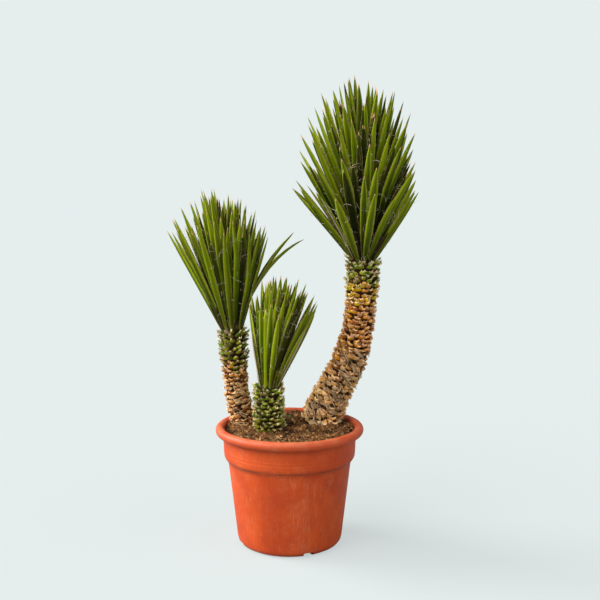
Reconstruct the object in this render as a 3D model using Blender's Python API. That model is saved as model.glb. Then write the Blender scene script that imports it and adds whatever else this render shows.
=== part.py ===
"""A yucca with three stems in a round nursery pot of terracotta-coloured plastic.

Metres, +Z up. The origin is on the floor under the pot's centre, and -Y is the front.
The stems are covered with the cut bases of old leaves, brown below and green near the top,
and each carries a head of stiff, channelled, pointed leaves.
"""

import math

import bmesh
import bpy
import numpy as np

# Pot
POT_HEIGHT = 0.259
RIM_RADIUS = 0.160
BEAD_RADIUS = 0.0097
RIM_LIP = math.radians(-112)
RIM_INNER = math.radians(145)
NECK_RADIUS = 0.1443
NECK_BELOW_BEAD = 0.004
BAND_RADIUS = 0.1418
BAND_HEIGHT = 0.193
SHOULDER_RADIUS = 0.1322
SHOULDER_HEIGHT = 0.174
FOOT_RADIUS = 0.112
CORNER_RADIUS = 0.0154
CORNER_RISE = 0.004
WALL = 0.0024
FOOT_RING_WIDTH = 0.006
RECESS = 0.0095
PAD_RADIUS = 0.022
PAD_SLOPE = 0.004
NOTCH_COUNT = 4
NOTCH_WIDTH = 0.026
NOTCH_HEIGHT = 0.0085
NOTCH_TAPER = 0.8
NOTCH_ANGLE = math.radians(22)
DRAIN_COUNT = 6
DRAIN_RADIUS = 0.006
DRAIN_CIRCLE = 0.058
DRAIN_SIDES = 10
POT_SIDES = 32
FIT_GAP = 0.0003

# Soil: its level at the wall, and each heap as (x, y), reach and height
SOIL_EDGE_LEVEL = 0.2455
SOIL_RISE_TO_BACK = 0.0015
SOIL_BUMP = 0.0010
SOIL_BUMPS_PER_METRE = (61, 53)
SOIL_HEAPS = (
    ((0.072, 0.058), 0.070, 0.0090),
    ((-0.102, 0.040), 0.055, 0.0050),
    ((-0.044, 0.000), 0.075, 0.0040),
    ((0.000, 0.105), 0.060, 0.0060),
)
SOIL_RINGS = (1.0, 0.85, 0.66, 0.44, 0.22)
STEM_HOLE_GAP = 0.0005

# Stems: the middle line as points, core radii at even steps up to the head, and the heights of the joints
TALL_LINE = (
    (0.050, 0.050, 0.185), (0.0705, 0.050, 0.258), (0.099, 0.047, 0.327), (0.131, 0.042, 0.393),
    (0.148, 0.038, 0.462), (0.156, 0.034, 0.535), (0.159, 0.030, 0.607), (0.1592, 0.026, 0.690),
    (0.1600, 0.022, 0.775),
)
TALL_RADII = (0.037, 0.038, 0.036, 0.0315, 0.0315, 0.0275, 0.0275, 0.029, 0.030)
TALL_JOINTS = (0.538, 0.607)
LEFT_LINE = (
    (-0.100, 0.036, 0.185), (-0.1035, 0.038, 0.258), (-0.113, 0.040, 0.303), (-0.120, 0.043, 0.347),
    (-0.1232, 0.046, 0.402), (-0.1263, 0.050, 0.451), (-0.1300, 0.056, 0.520), (-0.1340, 0.062, 0.580),
)
LEFT_RADII = (0.0215, 0.0225, 0.0225, 0.0200, 0.0215, 0.0245, 0.0255)
LEFT_JOINTS = (0.378, 0.451)
SHORT_LINE = (
    (-0.043, -0.006, 0.185), (-0.0442, -0.007, 0.250), (-0.0455, -0.009, 0.295), (-0.0448, -0.012, 0.340),
    (-0.0400, -0.017, 0.380), (-0.0345, -0.023, 0.425),
)
SHORT_RADII = (0.0240, 0.0255, 0.0260, 0.0250, 0.0240)
SHORT_JOINTS = (0.340,)
STEM_SIDES = 14
RING_STEP = 0.028
DIRECTION_STEP = 0.004
JOINT_GAP = 0.0003

# Cut leaf bases on the stems
STUB_LENGTH = 0.021
STUB_SUNK = 0.0055
STUB_ROOT_DROP = 0.0017
STUB_KEEL_SHARE = 0.7
STUB_CUT_SHARE = 0.82
STUB_THICKNESS = 0.0080
STUB_CUT_THICKNESS = 0.0062
STUB_LEAN = math.radians(23)
STUB_LEAN_SPREAD = math.radians(4)
STUB_SPREADS = (0.08, 0.10, 0.16)
STUB_FOOT_ROOM = 0.0072
STUB_END_ROOM = 0.0022
STUB_CLEAR_OF_SOIL = 0.0030

# Leaves: shares of the length, with the share of the full width and the thickness there
GOLDEN_ANGLE = math.radians(137.508)
LEAF_STATIONS = (0.0, 0.52)
LEAF_WIDTHS = (0.62, 1.00)
LEAF_THICKNESSES = (0.0042, 0.0030)
LEAF_FOLD = 0.34
LEAF_CLEARANCE = 0.002
LEAF_ROOT_RISE = 0.004
LEAF_ROOT_DEPTH = 0.75
LOWEST_RING = 8
LEAF_LEAN_SPREAD = 2.0
LEAF_SPREADS = (0.10, 0.06, 0.10)
LEAF_BEND = 3.0
TOP_LEAF_WIDTH = 0.80

# The upright plane that keeps the left and the short head apart: a point on it, and its direction
PARTING_POINT = (-0.081, 0.0145, 0.0)
PARTING_TO_SHORT = (0.755, -0.656, 0.0)

# A cut piece of leaf on the soil: its middle, its direction, length, width and thickness
SCRAP_MIDDLE = (0.0014, 0.0786)
SCRAP_TURN = math.radians(-14)
SCRAP_LENGTH = 0.018
SCRAP_WIDTH = 0.008
SCRAP_END_SHARE = 0.6
SCRAP_THICKNESS = 0.0016

PI = math.pi


def clear_scene():
    for old in list(bpy.data.objects):
        bpy.data.objects.remove(old, do_unlink=True)


def material(name, colour, roughness):
    made = bpy.data.materials.new(name)
    made.use_nodes = True
    shader = made.node_tree.nodes["Principled BSDF"]
    shader.inputs["Base Color"].default_value = (*colour, 1.0)
    shader.inputs["Roughness"].default_value = roughness
    shader.inputs["Metallic"].default_value = 0.0
    made.diffuse_color = (*colour, 1.0)
    return made


def mesh_object(name, points, faces, finish=None):
    mesh = bpy.data.meshes.new(name)
    mesh.from_pydata([tuple(map(float, p)) for p in points], [], faces)
    mesh.update()
    if finish is not None:
        mesh.materials.append(finish)
    made = bpy.data.objects.new(name, mesh)
    bpy.context.scene.collection.objects.link(made)
    return made


def tube_faces(rings, sides):
    """Quads between closed rings of points, and a face over each end."""
    faces = [
        (r * sides + k, r * sides + (k + 1) % sides, (r + 1) * sides + (k + 1) % sides, (r + 1) * sides + k)
        for r in range(rings - 1)
        for k in range(sides)
    ]
    faces.append(tuple(reversed(range(sides))))
    faces.append(tuple(range((rings - 1) * sides, rings * sides)))
    return faces


def turned(name, profile, sides, finish=None):
    """A closed profile of (radius, height) turned about Z; a radius of zero is one shared point."""
    points, index = [], []
    for radius, height in profile:
        if radius == 0.0:
            index.append([len(points)] * sides)
            points.append((0.0, 0.0, height))
        else:
            index.append(list(range(len(points), len(points) + sides)))
            turn = [2 * PI * k / sides for k in range(sides)]
            points += [(radius * math.cos(a), radius * math.sin(a), height) for a in turn]
    faces = []
    for lower, upper in zip(index, index[1:] + index[:1]):
        for k in range(sides):
            after = (k + 1) % sides
            corners = list(dict.fromkeys((lower[k], lower[after], upper[after], upper[k])))
            if len(corners) > 2:
                faces.append(corners)
    return mesh_object(name, points, faces, finish)


def arc(centre, radius, start, end, steps):
    """Points (radius, height) on an arc, both ends included."""
    turn = [start + (end - start) * k / steps for k in range(steps + 1)]
    return [(centre[0] + radius * math.cos(a), centre[1] + radius * math.sin(a)) for a in turn]


def applied(target, modifier):
    """The object's mesh as its modifiers shape it, with the modifiers gone."""
    graph = bpy.context.evaluated_depsgraph_get()
    shaped = bpy.data.meshes.new_from_object(target.evaluated_get(graph))
    target.modifiers.remove(modifier)
    target.data = shaped
    return target


def keep_main_body(target):
    """Drops every part of the mesh but the largest: loose scraps, and hollows that the joining sealed."""
    work = bmesh.new()
    work.from_mesh(target.data)
    waiting = set(work.verts)
    islands = []
    while waiting:
        edge = [waiting.pop()]
        island = set(edge)
        while edge:
            near = {e.other_vert(v) for v in edge for e in v.link_edges} & waiting
            waiting -= near
            island |= near
            edge = list(near)
        islands.append(island)
    islands.sort(key=len)
    for island in islands[:-1]:
        bmesh.ops.delete(work, geom=list(island), context="VERTS")
    work.to_mesh(target.data)
    work.free()
    return target


def combined(target, others, operation):
    """Joins or cuts the target by a collection of closed shapes, which are then removed."""
    group = bpy.data.collections.new(target.name + "_repeats")
    bpy.context.scene.collection.children.link(group)
    for other in others:
        bpy.context.scene.collection.objects.unlink(other)
        group.objects.link(other)
    modifier = target.modifiers.new(operation.title(), "BOOLEAN")
    modifier.operation = operation
    modifier.operand_type = "COLLECTION"
    modifier.collection = group
    modifier.solver = "MANIFOLD"
    applied(target, modifier)
    for other in others:
        bpy.data.objects.remove(other, do_unlink=True)
    bpy.data.collections.remove(group)
    return keep_main_body(target)


# The pot

def wall_inside(height):
    """The radius of the pot's inner wall at a height: straight runs between its bends."""
    heights = (0.0, CORNER_RADIUS, SHOULDER_HEIGHT, BAND_HEIGHT, POT_HEIGHT - BEAD_RADIUS, POT_HEIGHT)
    radii = (FOOT_RADIUS, FOOT_RADIUS, SHOULDER_RADIUS, BAND_RADIUS, NECK_RADIUS, NECK_RADIUS)
    return float(np.interp(height, heights, radii)) - WALL


def pot_profile():
    """Once round the section: centre pad, foot, outer wall, rolled rim, inner wall and floor."""
    bead = (RIM_RADIUS - BEAD_RADIUS, POT_HEIGHT - BEAD_RADIUS)
    floor = RECESS + WALL
    corner_centre = (FOOT_RADIUS - CORNER_RADIUS, CORNER_RADIUS)
    ring_outer = FOOT_RADIUS - CORNER_RADIUS
    outside = [(0.0, 0.0), (PAD_RADIUS, 0.0), (PAD_RADIUS + PAD_SLOPE, RECESS)]
    outside += [(ring_outer - FOOT_RING_WIDTH, RECESS), (ring_outer - FOOT_RING_WIDTH, 0.0)]
    outside += arc(corner_centre, CORNER_RADIUS, -PI / 2, 0.0, 3)
    outside += [(SHOULDER_RADIUS, SHOULDER_HEIGHT), (BAND_RADIUS, BAND_HEIGHT)]
    outside += [(NECK_RADIUS, bead[1] - NECK_BELOW_BEAD)]
    curl_start = math.acos((NECK_RADIUS - bead[0]) / (BEAD_RADIUS - WALL))
    hollow = arc(bead, BEAD_RADIUS - WALL, curl_start, RIM_LIP, 4)
    rolled = arc(bead, BEAD_RADIUS, RIM_LIP, RIM_INNER, 7)
    inside = [(wall_inside(BAND_HEIGHT), BAND_HEIGHT), (wall_inside(SHOULDER_HEIGHT), SHOULDER_HEIGHT)]
    inside += [(FOOT_RADIUS - WALL, CORNER_RADIUS + CORNER_RISE), (ring_outer, floor)]
    inside += [(PAD_RADIUS + PAD_SLOPE - WALL / 2, floor), (PAD_RADIUS - WALL / 2, WALL), (0.0, WALL)]
    return outside + hollow + rolled + [(NECK_RADIUS - WALL, bead[1])] + inside


def foot_notch(angle):
    """A wedge that cuts a way out for water under the foot ring, seen from the pot's axis at an angle."""
    along = np.array((math.cos(angle), math.sin(angle), 0.0))
    across = np.array((-math.sin(angle), math.cos(angle), 0.0))
    near, far = FOOT_RADIUS - CORNER_RADIUS - 2 * FOOT_RING_WIDTH, FOOT_RADIUS + CORNER_RADIUS
    half, top = NOTCH_WIDTH / 2, NOTCH_WIDTH / 2 * NOTCH_TAPER
    outline = [(-half, -RECESS), (half, -RECESS), (top, NOTCH_HEIGHT), (-top, NOTCH_HEIGHT)]
    rings = [along * r + across * w + np.array((0, 0, z)) for r in (near, far) for w, z in outline]
    return mesh_object("notch", rings, tube_faces(2, 4))


def drain_hole(angle):
    x, y = DRAIN_CIRCLE * math.cos(angle), DRAIN_CIRCLE * math.sin(angle)
    turn = [2 * PI * k / DRAIN_SIDES for k in range(DRAIN_SIDES)]
    circle = [(x + DRAIN_RADIUS * math.cos(a), y + DRAIN_RADIUS * math.sin(a)) for a in turn]
    rings = [(*corner, z) for z in (0.0, 2 * RECESS) for corner in circle]
    return mesh_object("drain", rings, tube_faces(2, DRAIN_SIDES))


def make_pot(finish):
    pot = turned("pot", pot_profile(), POT_SIDES, finish)
    cutters = [foot_notch(NOTCH_ANGLE - PI / 2 + 2 * PI * k / NOTCH_COUNT) for k in range(NOTCH_COUNT)]
    cutters += [drain_hole(2 * PI * k / DRAIN_COUNT) for k in range(DRAIN_COUNT)]
    return combined(pot, cutters, "DIFFERENCE")


# Lines and tubes

def smooth_line(points, per_span=12):
    """A Catmull-Rom curve through the points, as dense points with its length so far at each."""
    given = np.array(points)
    given = np.vstack([2 * given[0] - given[1], given, 2 * given[-1] - given[-2]])
    dense = []
    for a, b, c, d in zip(given, given[1:], given[2:], given[3:]):
        t = np.linspace(0, 1, per_span, endpoint=False)[:, None]
        dense.append(0.5 * (2 * b + (c - a) * t + (2 * a - 5 * b + 4 * c - d) * t**2
                            + (3 * b - a - 3 * c + d) * t**3))
    line = np.vstack([*dense, given[-2]])
    run = np.concatenate([[0.0], np.cumsum(np.linalg.norm(np.diff(line, axis=0), axis=1))])
    return line, run


class Stem:
    """A stem's middle line and core radius, both read by the length along it, and where its joints are."""

    def __init__(self, points, radii, joint_heights):
        self.line, self.run = smooth_line(points)
        self.radii = radii
        self.joints = [self.where(height) for height in joint_heights]

    def at(self, along):
        return np.array([np.interp(along, self.run, self.line[:, k]) for k in range(3)])

    def frame(self, along):
        """The direction of growth, then two directions square to it, the first to the right."""
        up = self.at(along + DIRECTION_STEP) - self.at(along - DIRECTION_STEP)
        up /= np.linalg.norm(up)
        right = np.cross((0.0, 1.0, 0.0), up)
        right /= np.linalg.norm(right)
        return up, right, np.cross(up, right)

    def outward(self, along, angle):
        """The direction of growth, and the direction square to it at an angle round the stem."""
        up, right, back = self.frame(along)
        return up, math.cos(angle) * right + math.sin(angle) * back

    def radius(self, along):
        return float(np.interp(along / self.joints[-1], np.linspace(0, 1, len(self.radii)), self.radii))

    def where(self, height):
        return float(np.interp(height, self.line[:, 2], self.run))


def tube(name, stem, stops, radii, finish=None, sides=STEM_SIDES):
    """A closed tube along a stem, with a ring of points at each stop."""
    turn = [2 * PI * k / sides for k in range(sides)]
    points = [stem.at(s) + r * stem.outward(s, a)[1] for s, r in zip(stops, radii) for a in turn]
    return mesh_object(name, points, tube_faces(len(stops), sides), finish)


def stops_between(start, end):
    return np.linspace(start, end, max(2, round((end - start) / RING_STEP) + 1))


# Soil

def soil_height(x, y):
    """The soil's surface: level at the wall, heaped round the stems, with a gentle waviness."""
    height = SOIL_EDGE_LEVEL + SOIL_RISE_TO_BACK * y / NECK_RADIUS
    for (foot_x, foot_y), reach, heap in SOIL_HEAPS:
        away = math.hypot(x - foot_x, y - foot_y) / reach
        height += heap * math.exp(-away * away)
    across, deep = SOIL_BUMPS_PER_METRE
    return height + SOIL_BUMP * math.sin(across * x + 1.3) * math.cos(deep * y - 0.4)


def make_soil(finish, holes):
    """The filling, from the pot's floor up to its surface, with plain holes for the stems."""
    floor, pad = RECESS + WALL + FIT_GAP, WALL + FIT_GAP
    turn = [2 * PI * k / POT_SIDES for k in range(POT_SIDES)]
    below = [(PAD_RADIUS - WALL, pad), (PAD_RADIUS + PAD_SLOPE - WALL, floor)]
    below += [(FOOT_RADIUS - CORNER_RADIUS - FIT_GAP, floor)]
    bends = (CORNER_RADIUS + CORNER_RISE, SHOULDER_HEIGHT, BAND_HEIGHT)
    below += [(wall_inside(z) - 2 * FIT_GAP, z) for z in bends]
    edge = wall_inside(BAND_HEIGHT + 0.9 * (SOIL_EDGE_LEVEL - BAND_HEIGHT)) - 2 * FIT_GAP
    rings = [[(r * math.cos(a), r * math.sin(a), z) for a in turn] for r, z in below]
    for share in SOIL_RINGS:
        flat = [(edge * share * math.cos(a), edge * share * math.sin(a)) for a in turn]
        rings.append([(x, y, soil_height(x, y)) for x, y in flat])
    points = [(0.0, 0.0, pad), *(p for ring in rings for p in ring), (0.0, 0.0, soil_height(0.0, 0.0))]
    faces = [(0, 1 + (k + 1) % POT_SIDES, 1 + k) for k in range(POT_SIDES)]
    for r in range(len(rings) - 1):
        low, high = 1 + r * POT_SIDES, 1 + (r + 1) * POT_SIDES
        for k in range(POT_SIDES):
            after = (k + 1) % POT_SIDES
            faces.append((low + k, low + after, high + after, high + k))
    last, middle = 1 + (len(rings) - 1) * POT_SIDES, len(points) - 1
    faces += [(middle, last + k, last + (k + 1) % POT_SIDES) for k in range(POT_SIDES)]
    soil = mesh_object("soil", points, faces, finish)
    return combined(soil, holes, "DIFFERENCE")


def make_scrap(finish, soil):
    """A cut piece of leaf lying on the soil: a six-sided strip just clear of the surface."""
    ahead = np.array((math.cos(SCRAP_TURN), math.sin(SCRAP_TURN))) * SCRAP_LENGTH / 2
    across = np.array((-math.sin(SCRAP_TURN), math.cos(SCRAP_TURN))) * SCRAP_WIDTH / 2
    corners = [(-1, -SCRAP_END_SHARE), (0, -1), (1, -SCRAP_END_SHARE)]
    corners += [(-a, -w) for a, w in corners]
    outline = [np.array(SCRAP_MIDDLE) + a * ahead + w * across for a, w in corners]
    surface = [soil.ray_cast((x, y, 1.0), (0.0, 0.0, -1.0))[1].z for x, y in outline]
    level = max(surface) + FIT_GAP
    rings = [(x, y, z) for z in (level, level + SCRAP_THICKNESS) for x, y in outline]
    return mesh_object("leaf_scrap", rings, tube_faces(2, len(outline)), finish)


# Cut leaf bases

def section(centre, side, normal, width, thickness):
    """Three corners across a stub: two edges above and the keel below."""
    half, above = side * width / 2, normal * thickness * (1 - STUB_KEEL_SHARE)
    return [centre - half + above, centre + half + above, centre - normal * thickness * STUB_KEEL_SHARE]


def stub(stem, along, angle, width, lean, length):
    """One cut leaf base, rooted inside the stem and leaning out from it."""
    up, out = stem.outward(along, angle)
    side = np.cross(out, up)
    ahead = math.cos(lean) * up + math.sin(lean) * out
    normal = math.sin(lean) * up - math.cos(lean) * out
    surface = stem.at(along) + stem.radius(along) * out
    root = surface - STUB_SUNK * out - STUB_ROOT_DROP * up
    cut = surface + length * ahead
    points = section(root, side, normal, width, STUB_THICKNESS)
    return points + section(cut, side, normal, width * STUB_CUT_SHARE, STUB_CUT_THICKNESS)


def within(points, stem, start, end):
    """Whether points lie between the planes that cut the stem square at its two ends."""
    lowest = min(np.dot(p - stem.at(start), stem.frame(start)[0]) for p in points)
    highest = max(np.dot(p - stem.at(end), stem.frame(end)[0]) for p in points)
    return lowest > 0.0 and highest < 0.0


def clear_of_soil(points):
    """Whether all of a stub, its root too, stays above the soil."""
    level = max(soil_height(p[0], p[1]) for p in points)
    return min(p[2] for p in points) > level + STUB_CLEAR_OF_SOIL


def stubs_between(stem, start, end, count, width, seed):
    """Stubs in a golden-angle spiral, crowded at both ends, and none where it would reach the soil."""
    draw = np.random.default_rng(seed)
    turn_spread, width_spread, length_spread = STUB_SPREADS
    made = []
    for k in range(count):
        jitter = draw.uniform(-1, 1, 4)
        lean = STUB_LEAN + STUB_LEAN_SPREAD * jitter[2]
        length = STUB_LENGTH * (1 + length_spread * jitter[3])
        along = max(start + (end - start) * (k + 0.5) / count, start + STUB_FOOT_ROOM)
        along = min(along, end - length * math.cos(lean) - STUB_END_ROOM)
        points = stub(stem, along, k * GOLDEN_ANGLE + turn_spread * jitter[0],
                      width * (1 + width_spread * jitter[1]), lean, length)
        if within(points, stem, start, end) and clear_of_soil(points):
            made.append(mesh_object("stub", points, tube_faces(2, 3)))
    return made


def stem_piece(name, stem, start, end, count, width, seed, finish):
    """A length of stem with its stubs, as one solid."""
    stops = stops_between(start, end)
    core = tube(name, stem, stops, [stem.radius(along) for along in stops], finish)
    stubs = stubs_between(stem, max(start, stem.where(SOIL_EDGE_LEVEL)), end, count, width, seed)
    return combined(core, stubs, "UNION")


# Leaves

class Head:
    """What sets the leaves of one head. The leans and lengths are read from the lowest leaf to the top."""

    def __init__(self, count, core_length, core_radii, leans, lengths, width, seed, fuller,
                 parted=0, extra=()):
        self.count = count
        self.core_length = core_length
        self.core_radii = core_radii
        self.leans = leans
        self.lengths = lengths
        self.width = width
        self.seed = seed
        self.fuller = fuller
        self.parted = parted
        self.extra = extra


TALL_HEAD = Head(
    count=96, core_length=0.150, core_radii=(0.0245, 0.0085),
    leans=(38, 31, 24, 18, 10, 3), lengths=(0.190, 0.240, 0.264, 0.268, 0.258, 0.240),
    width=0.0260, seed=11, fuller=(180, 0.13),
)
LEFT_HEAD = Head(
    count=62, core_length=0.075, core_radii=(0.0205, 0.0085),
    leans=(24, 21, 16, 12, 7, 2), lengths=(0.235, 0.255, 0.262, 0.260, 0.250, 0.240),
    width=0.0215, seed=23, fuller=(180, 0.10), parted=-1,
    extra=((0.30, -8, 27, 0.236, 0.019, 4), (0.55, 4, 24, 0.205, 0.018, 36)),
)
SHORT_HEAD = Head(
    count=42, core_length=0.048, core_radii=(0.0195, 0.0080),
    leans=(22, 18, 15, 11, 7, 2), lengths=(0.188, 0.200, 0.208, 0.208, 0.204, 0.198),
    width=0.0190, seed=37, fuller=(0, 0.10), parted=1,
)


def leaf_rules(head):
    """For each leaf: its share of the head's height, angle round it, lean, length, width and bend."""
    draw = np.random.default_rng(head.seed)
    knots = np.linspace(0, 1, len(head.leans))
    towards, more = math.radians(head.fuller[0]), head.fuller[1]
    turn_spread, length_spread, width_spread = LEAF_SPREADS
    rules = []
    for k in range(head.count):
        share = max(0.0, (k + 0.5 - LOWEST_RING) / (head.count - LOWEST_RING))
        jitter = draw.uniform(-1, 1, 5)
        angle = k * GOLDEN_ANGLE + turn_spread * jitter[0]
        lean = math.radians(np.interp(share, knots, head.leans) + LEAF_LEAN_SPREAD * jitter[1])
        lean *= 1 + more * math.cos(angle - towards)
        length = np.interp(share, knots, head.lengths) * (1 + length_spread * jitter[2])
        young = TOP_LEAF_WIDTH + (1 - TOP_LEAF_WIDTH) * math.sin(PI * min(1.0, share + 0.3))
        width = head.width * (1 + width_spread * jitter[3]) * young
        rules.append((share, angle, lean, length, width, math.radians(LEAF_BEND * (1 + jitter[4]))))
    for share, angle, lean, length, width, bend in head.extra:
        rules.append((share, math.radians(angle), math.radians(lean), length, width, math.radians(bend)))
    return rules


def bent_clear(place, width, parted):
    """Moves a place on a leaf's middle line back to its own side of the plane between two heads."""
    if parted == 0:
        return place
    away = np.array(PARTING_TO_SHORT) * parted
    room = np.dot(place - np.array(PARTING_POINT), away) - width / 2 - LEAF_CLEARANCE
    return place - min(0.0, room) * away


def blade(base, up, out, lean, length, width, bend, parted):
    """A channelled blade: its edges stand above the middle, and it has a keel below."""
    side = np.cross(out, up)
    places, tilts = [np.array(base)], [lean]
    for last, share in zip(LEAF_STATIONS, (*LEAF_STATIONS[1:], 1.0)):
        tilt = lean + bend * (share + last) / 2
        step = (share - last) * length * (math.cos(tilt) * up + math.sin(tilt) * out)
        places.append(places[-1] + step)
        tilts.append(lean + bend * share)
    places = [places[0], *(bent_clear(place, width, parted) for place in places[1:])]
    points = []
    for place, tilt, wide, thick in zip(places, tilts, LEAF_WIDTHS, LEAF_THICKNESSES):
        normal = math.sin(tilt) * up - math.cos(tilt) * out
        half = side * width * wide / 2
        raised = normal * LEAF_FOLD * width * wide / 2
        points += [place - half + raised, place, place + half + raised, place - normal * thick]
    rings = len(LEAF_STATIONS)
    sides = tube_faces(rings, 4)[:-2]
    top = 4 * (rings - 1)
    tip = [(top + k, top + (k + 1) % 4, 4 * rings) for k in range(4)]
    return points + [places[-1]], [*sides, (0, 3, 1), (1, 3, 2), *tip]


def make_head(name, stem, start, head, finish):
    """The tapered tip of a stem with its leaves, as one solid."""
    ends = (start, start + head.core_length)
    stops = np.linspace(*ends, 6)
    core = tube(name, stem, stops, [float(np.interp(s, ends, head.core_radii)) for s in stops], finish, 10)
    leaves = []
    for share, angle, lean, length, width, bend in leaf_rules(head):
        along = start + LEAF_ROOT_RISE + share * (head.core_length - LEAF_ROOT_RISE)
        up, out = stem.outward(along, angle)
        base = stem.at(along) + LEAF_ROOT_DEPTH * float(np.interp(along, ends, head.core_radii)) * out
        points, faces = blade(base, up, out, lean, length, width, bend, head.parted)
        leaves.append(mesh_object("leaf", points, faces))
    return combined(core, leaves, "UNION")


def stem_in_soil(stem):
    """The hole that a stem stands in: its own tube, a little wider, and deeper than the stem reaches."""
    stops = stops_between(0.0, stem.joints[0])
    return tube("hole", stem, stops, [stem.radius(along) + STEM_HOLE_GAP for along in stops])


def make_plant():
    """The three stems with their heads; it gives back the holes that they need in the soil."""
    bark = material("dry_leaf_bases", (0.42, 0.27, 0.14), 0.9)
    green = material("green_leaf_bases", (0.20, 0.27, 0.06), 0.7)
    leaf = material("leaf", (0.13, 0.26, 0.03), 0.5)
    holes = []
    for name, stem, counts, width, head, seed in (
        ("tall", Stem(TALL_LINE, TALL_RADII, TALL_JOINTS), (74, 19), 0.0300, TALL_HEAD, 5),
        ("left", Stem(LEFT_LINE, LEFT_RADII, LEFT_JOINTS), (38, 25), 0.0220, LEFT_HEAD, 6),
        ("short", Stem(SHORT_LINE, SHORT_RADII, SHORT_JOINTS), (35,), 0.0220, SHORT_HEAD, 7),
    ):
        pieces = (("stem", bark), ("collar", green))[-len(stem.joints):]
        start = STEM_HOLE_GAP
        for (kind, finish), end, count in zip(pieces, stem.joints, counts):
            stem_piece(f"{name}_{kind}", stem, start, end, count, width, seed, finish)
            start = end + JOINT_GAP
        make_head(f"{name}_leaves", stem, start, head, leaf)
        holes.append(stem_in_soil(stem))
    return holes


clear_scene()
stem_holes = make_plant()
make_pot(material("pot_plastic", (0.62, 0.17, 0.06), 0.6))
filling = make_soil(material("soil", (0.16, 0.09, 0.05), 1.0), stem_holes)
make_scrap(material("leaf_scrap", (0.25, 0.33, 0.08), 0.6), filling)
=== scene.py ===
"""The looks of a potted yucca: a plastic nursery pot, its soil, three stems and their heads of leaves."""

import math

import bpy
import numpy as np
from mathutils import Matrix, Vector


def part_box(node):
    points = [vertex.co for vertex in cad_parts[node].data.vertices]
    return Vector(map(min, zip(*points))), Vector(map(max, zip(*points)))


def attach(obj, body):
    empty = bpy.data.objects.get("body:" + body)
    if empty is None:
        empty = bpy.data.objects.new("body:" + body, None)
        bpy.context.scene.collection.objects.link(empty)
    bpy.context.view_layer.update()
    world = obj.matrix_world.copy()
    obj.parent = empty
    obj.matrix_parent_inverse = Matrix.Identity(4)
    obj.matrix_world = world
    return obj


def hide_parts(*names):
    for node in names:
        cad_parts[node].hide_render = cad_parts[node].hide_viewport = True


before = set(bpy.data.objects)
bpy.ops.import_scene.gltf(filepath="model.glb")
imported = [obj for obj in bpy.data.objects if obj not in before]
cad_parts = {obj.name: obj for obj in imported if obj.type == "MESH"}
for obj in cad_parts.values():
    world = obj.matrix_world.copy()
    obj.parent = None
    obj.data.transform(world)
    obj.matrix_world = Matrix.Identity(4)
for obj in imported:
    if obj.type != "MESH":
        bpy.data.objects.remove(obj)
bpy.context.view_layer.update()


# The pot
# A round nursery pot of terracotta-coloured polypropylene, moulded in one piece: a hollow rolled rim,
# a wider band with two fine raised lines, a tapering body and a foot ring with four notches for water.

POT_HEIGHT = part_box("pot")[1].z
RIM_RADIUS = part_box("pot")[1].x
BEAD_RADIUS = 0.0097
RIM_LIP = math.radians(-112)
RIM_INNER = math.radians(145)
NECK_RADIUS = 0.1443
BAND_RADIUS = 0.1418
BAND_HEIGHT = 0.193
SHOULDER_RADIUS = 0.1322
SHOULDER_HEIGHT = 0.174
BAND_LINES = (0.2022, 0.2105)
BAND_LINE_WIDTH = 0.0013
BAND_LINE_RISE = 0.0003
FOOT_RADIUS = 0.112
FOOT_BEND = 0.0154
FOOT_RING_INSIDE = 0.0906
RECESS = 0.0095
PAD_RADIUS = 0.022
WALL = 0.0024
NOTCH_COUNT = 4
NOTCH_FIRST = math.radians(-68)
NOTCH_HALF_WIDTH = 0.0116
NOTCH_TOP_HALF = 0.0106
NOTCH_HEIGHT = 0.0095
DRAIN_COUNT = 6
DRAIN_RADIUS = 0.006
DRAIN_CIRCLE = 0.058
POT_COLUMNS = 208
CREASE_HEIGHT = 0.1872
CREASE_SWAY = 0.004
POT_ORANGE = (0.600, 0.077, 0.009)
POT_DEEP = (0.455, 0.048, 0.006)
POT_PINK = (0.500, 0.080, 0.027)
POT_DUST = (0.560, 0.285, 0.160)
POT_DIRT = (0.13, 0.045, 0.018)


def unit(vectors):
    """Each vector divided by its length."""
    return vectors / np.linalg.norm(vectors, axis=-1, keepdims=True)


def rounded(corners, steps=5):
    """An outline through (radius, height, reach) corners. Each corner is the parabola that leaves one side
    at its reach before the corner and meets the other side at the same reach after it; a reach of zero
    keeps it sharp."""
    given = np.array(corners)
    here, reach = given[1:-1, :2], given[1:-1, 2:]
    start = here + reach * unit(given[:-2, :2] - here)
    end = here + reach * unit(given[2:, :2] - here)
    t = np.linspace(0, 1, steps)[:, None, None]
    bent = ((1 - t) ** 2 * start + 2 * t * (1 - t) * here + t**2 * end).transpose(1, 0, 2)
    kept = [arc if far > 0 else arc[:1] for arc, far in zip(bent, reach[:, 0])]
    return np.vstack([given[:1, :2], *kept, given[-1:, :2]])


def arc(centre, radius, start, end, steps):
    """Points (radius, height) at even angles on a circle's arc, both ends included."""
    turn = np.linspace(start, end, steps)
    return np.stack([centre[0] + radius * np.cos(turn), centre[1] + radius * np.sin(turn)], axis=-1)


def circle(count):
    """Even angles once round."""
    return np.linspace(0, 2 * math.pi, count, endpoint=False)


def grid_faces(rows, columns):
    """The quads between neighbouring rows of points; the last column of each meets the first."""
    column = np.arange(columns)
    here = np.arange(rows - 1)[:, None] * columns + column
    after = np.arange(rows - 1)[:, None] * columns + (column + 1) % columns
    return np.stack([here, after, after + columns, here + columns], axis=-1).reshape(-1, 4)


def fan_faces(first, columns, pole):
    """The triangles from one ring of points to a single point that closes it."""
    column = np.arange(columns)
    return np.stack([first + column, first + (column + 1) % columns, np.full(columns, pole)], axis=-1)


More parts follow.
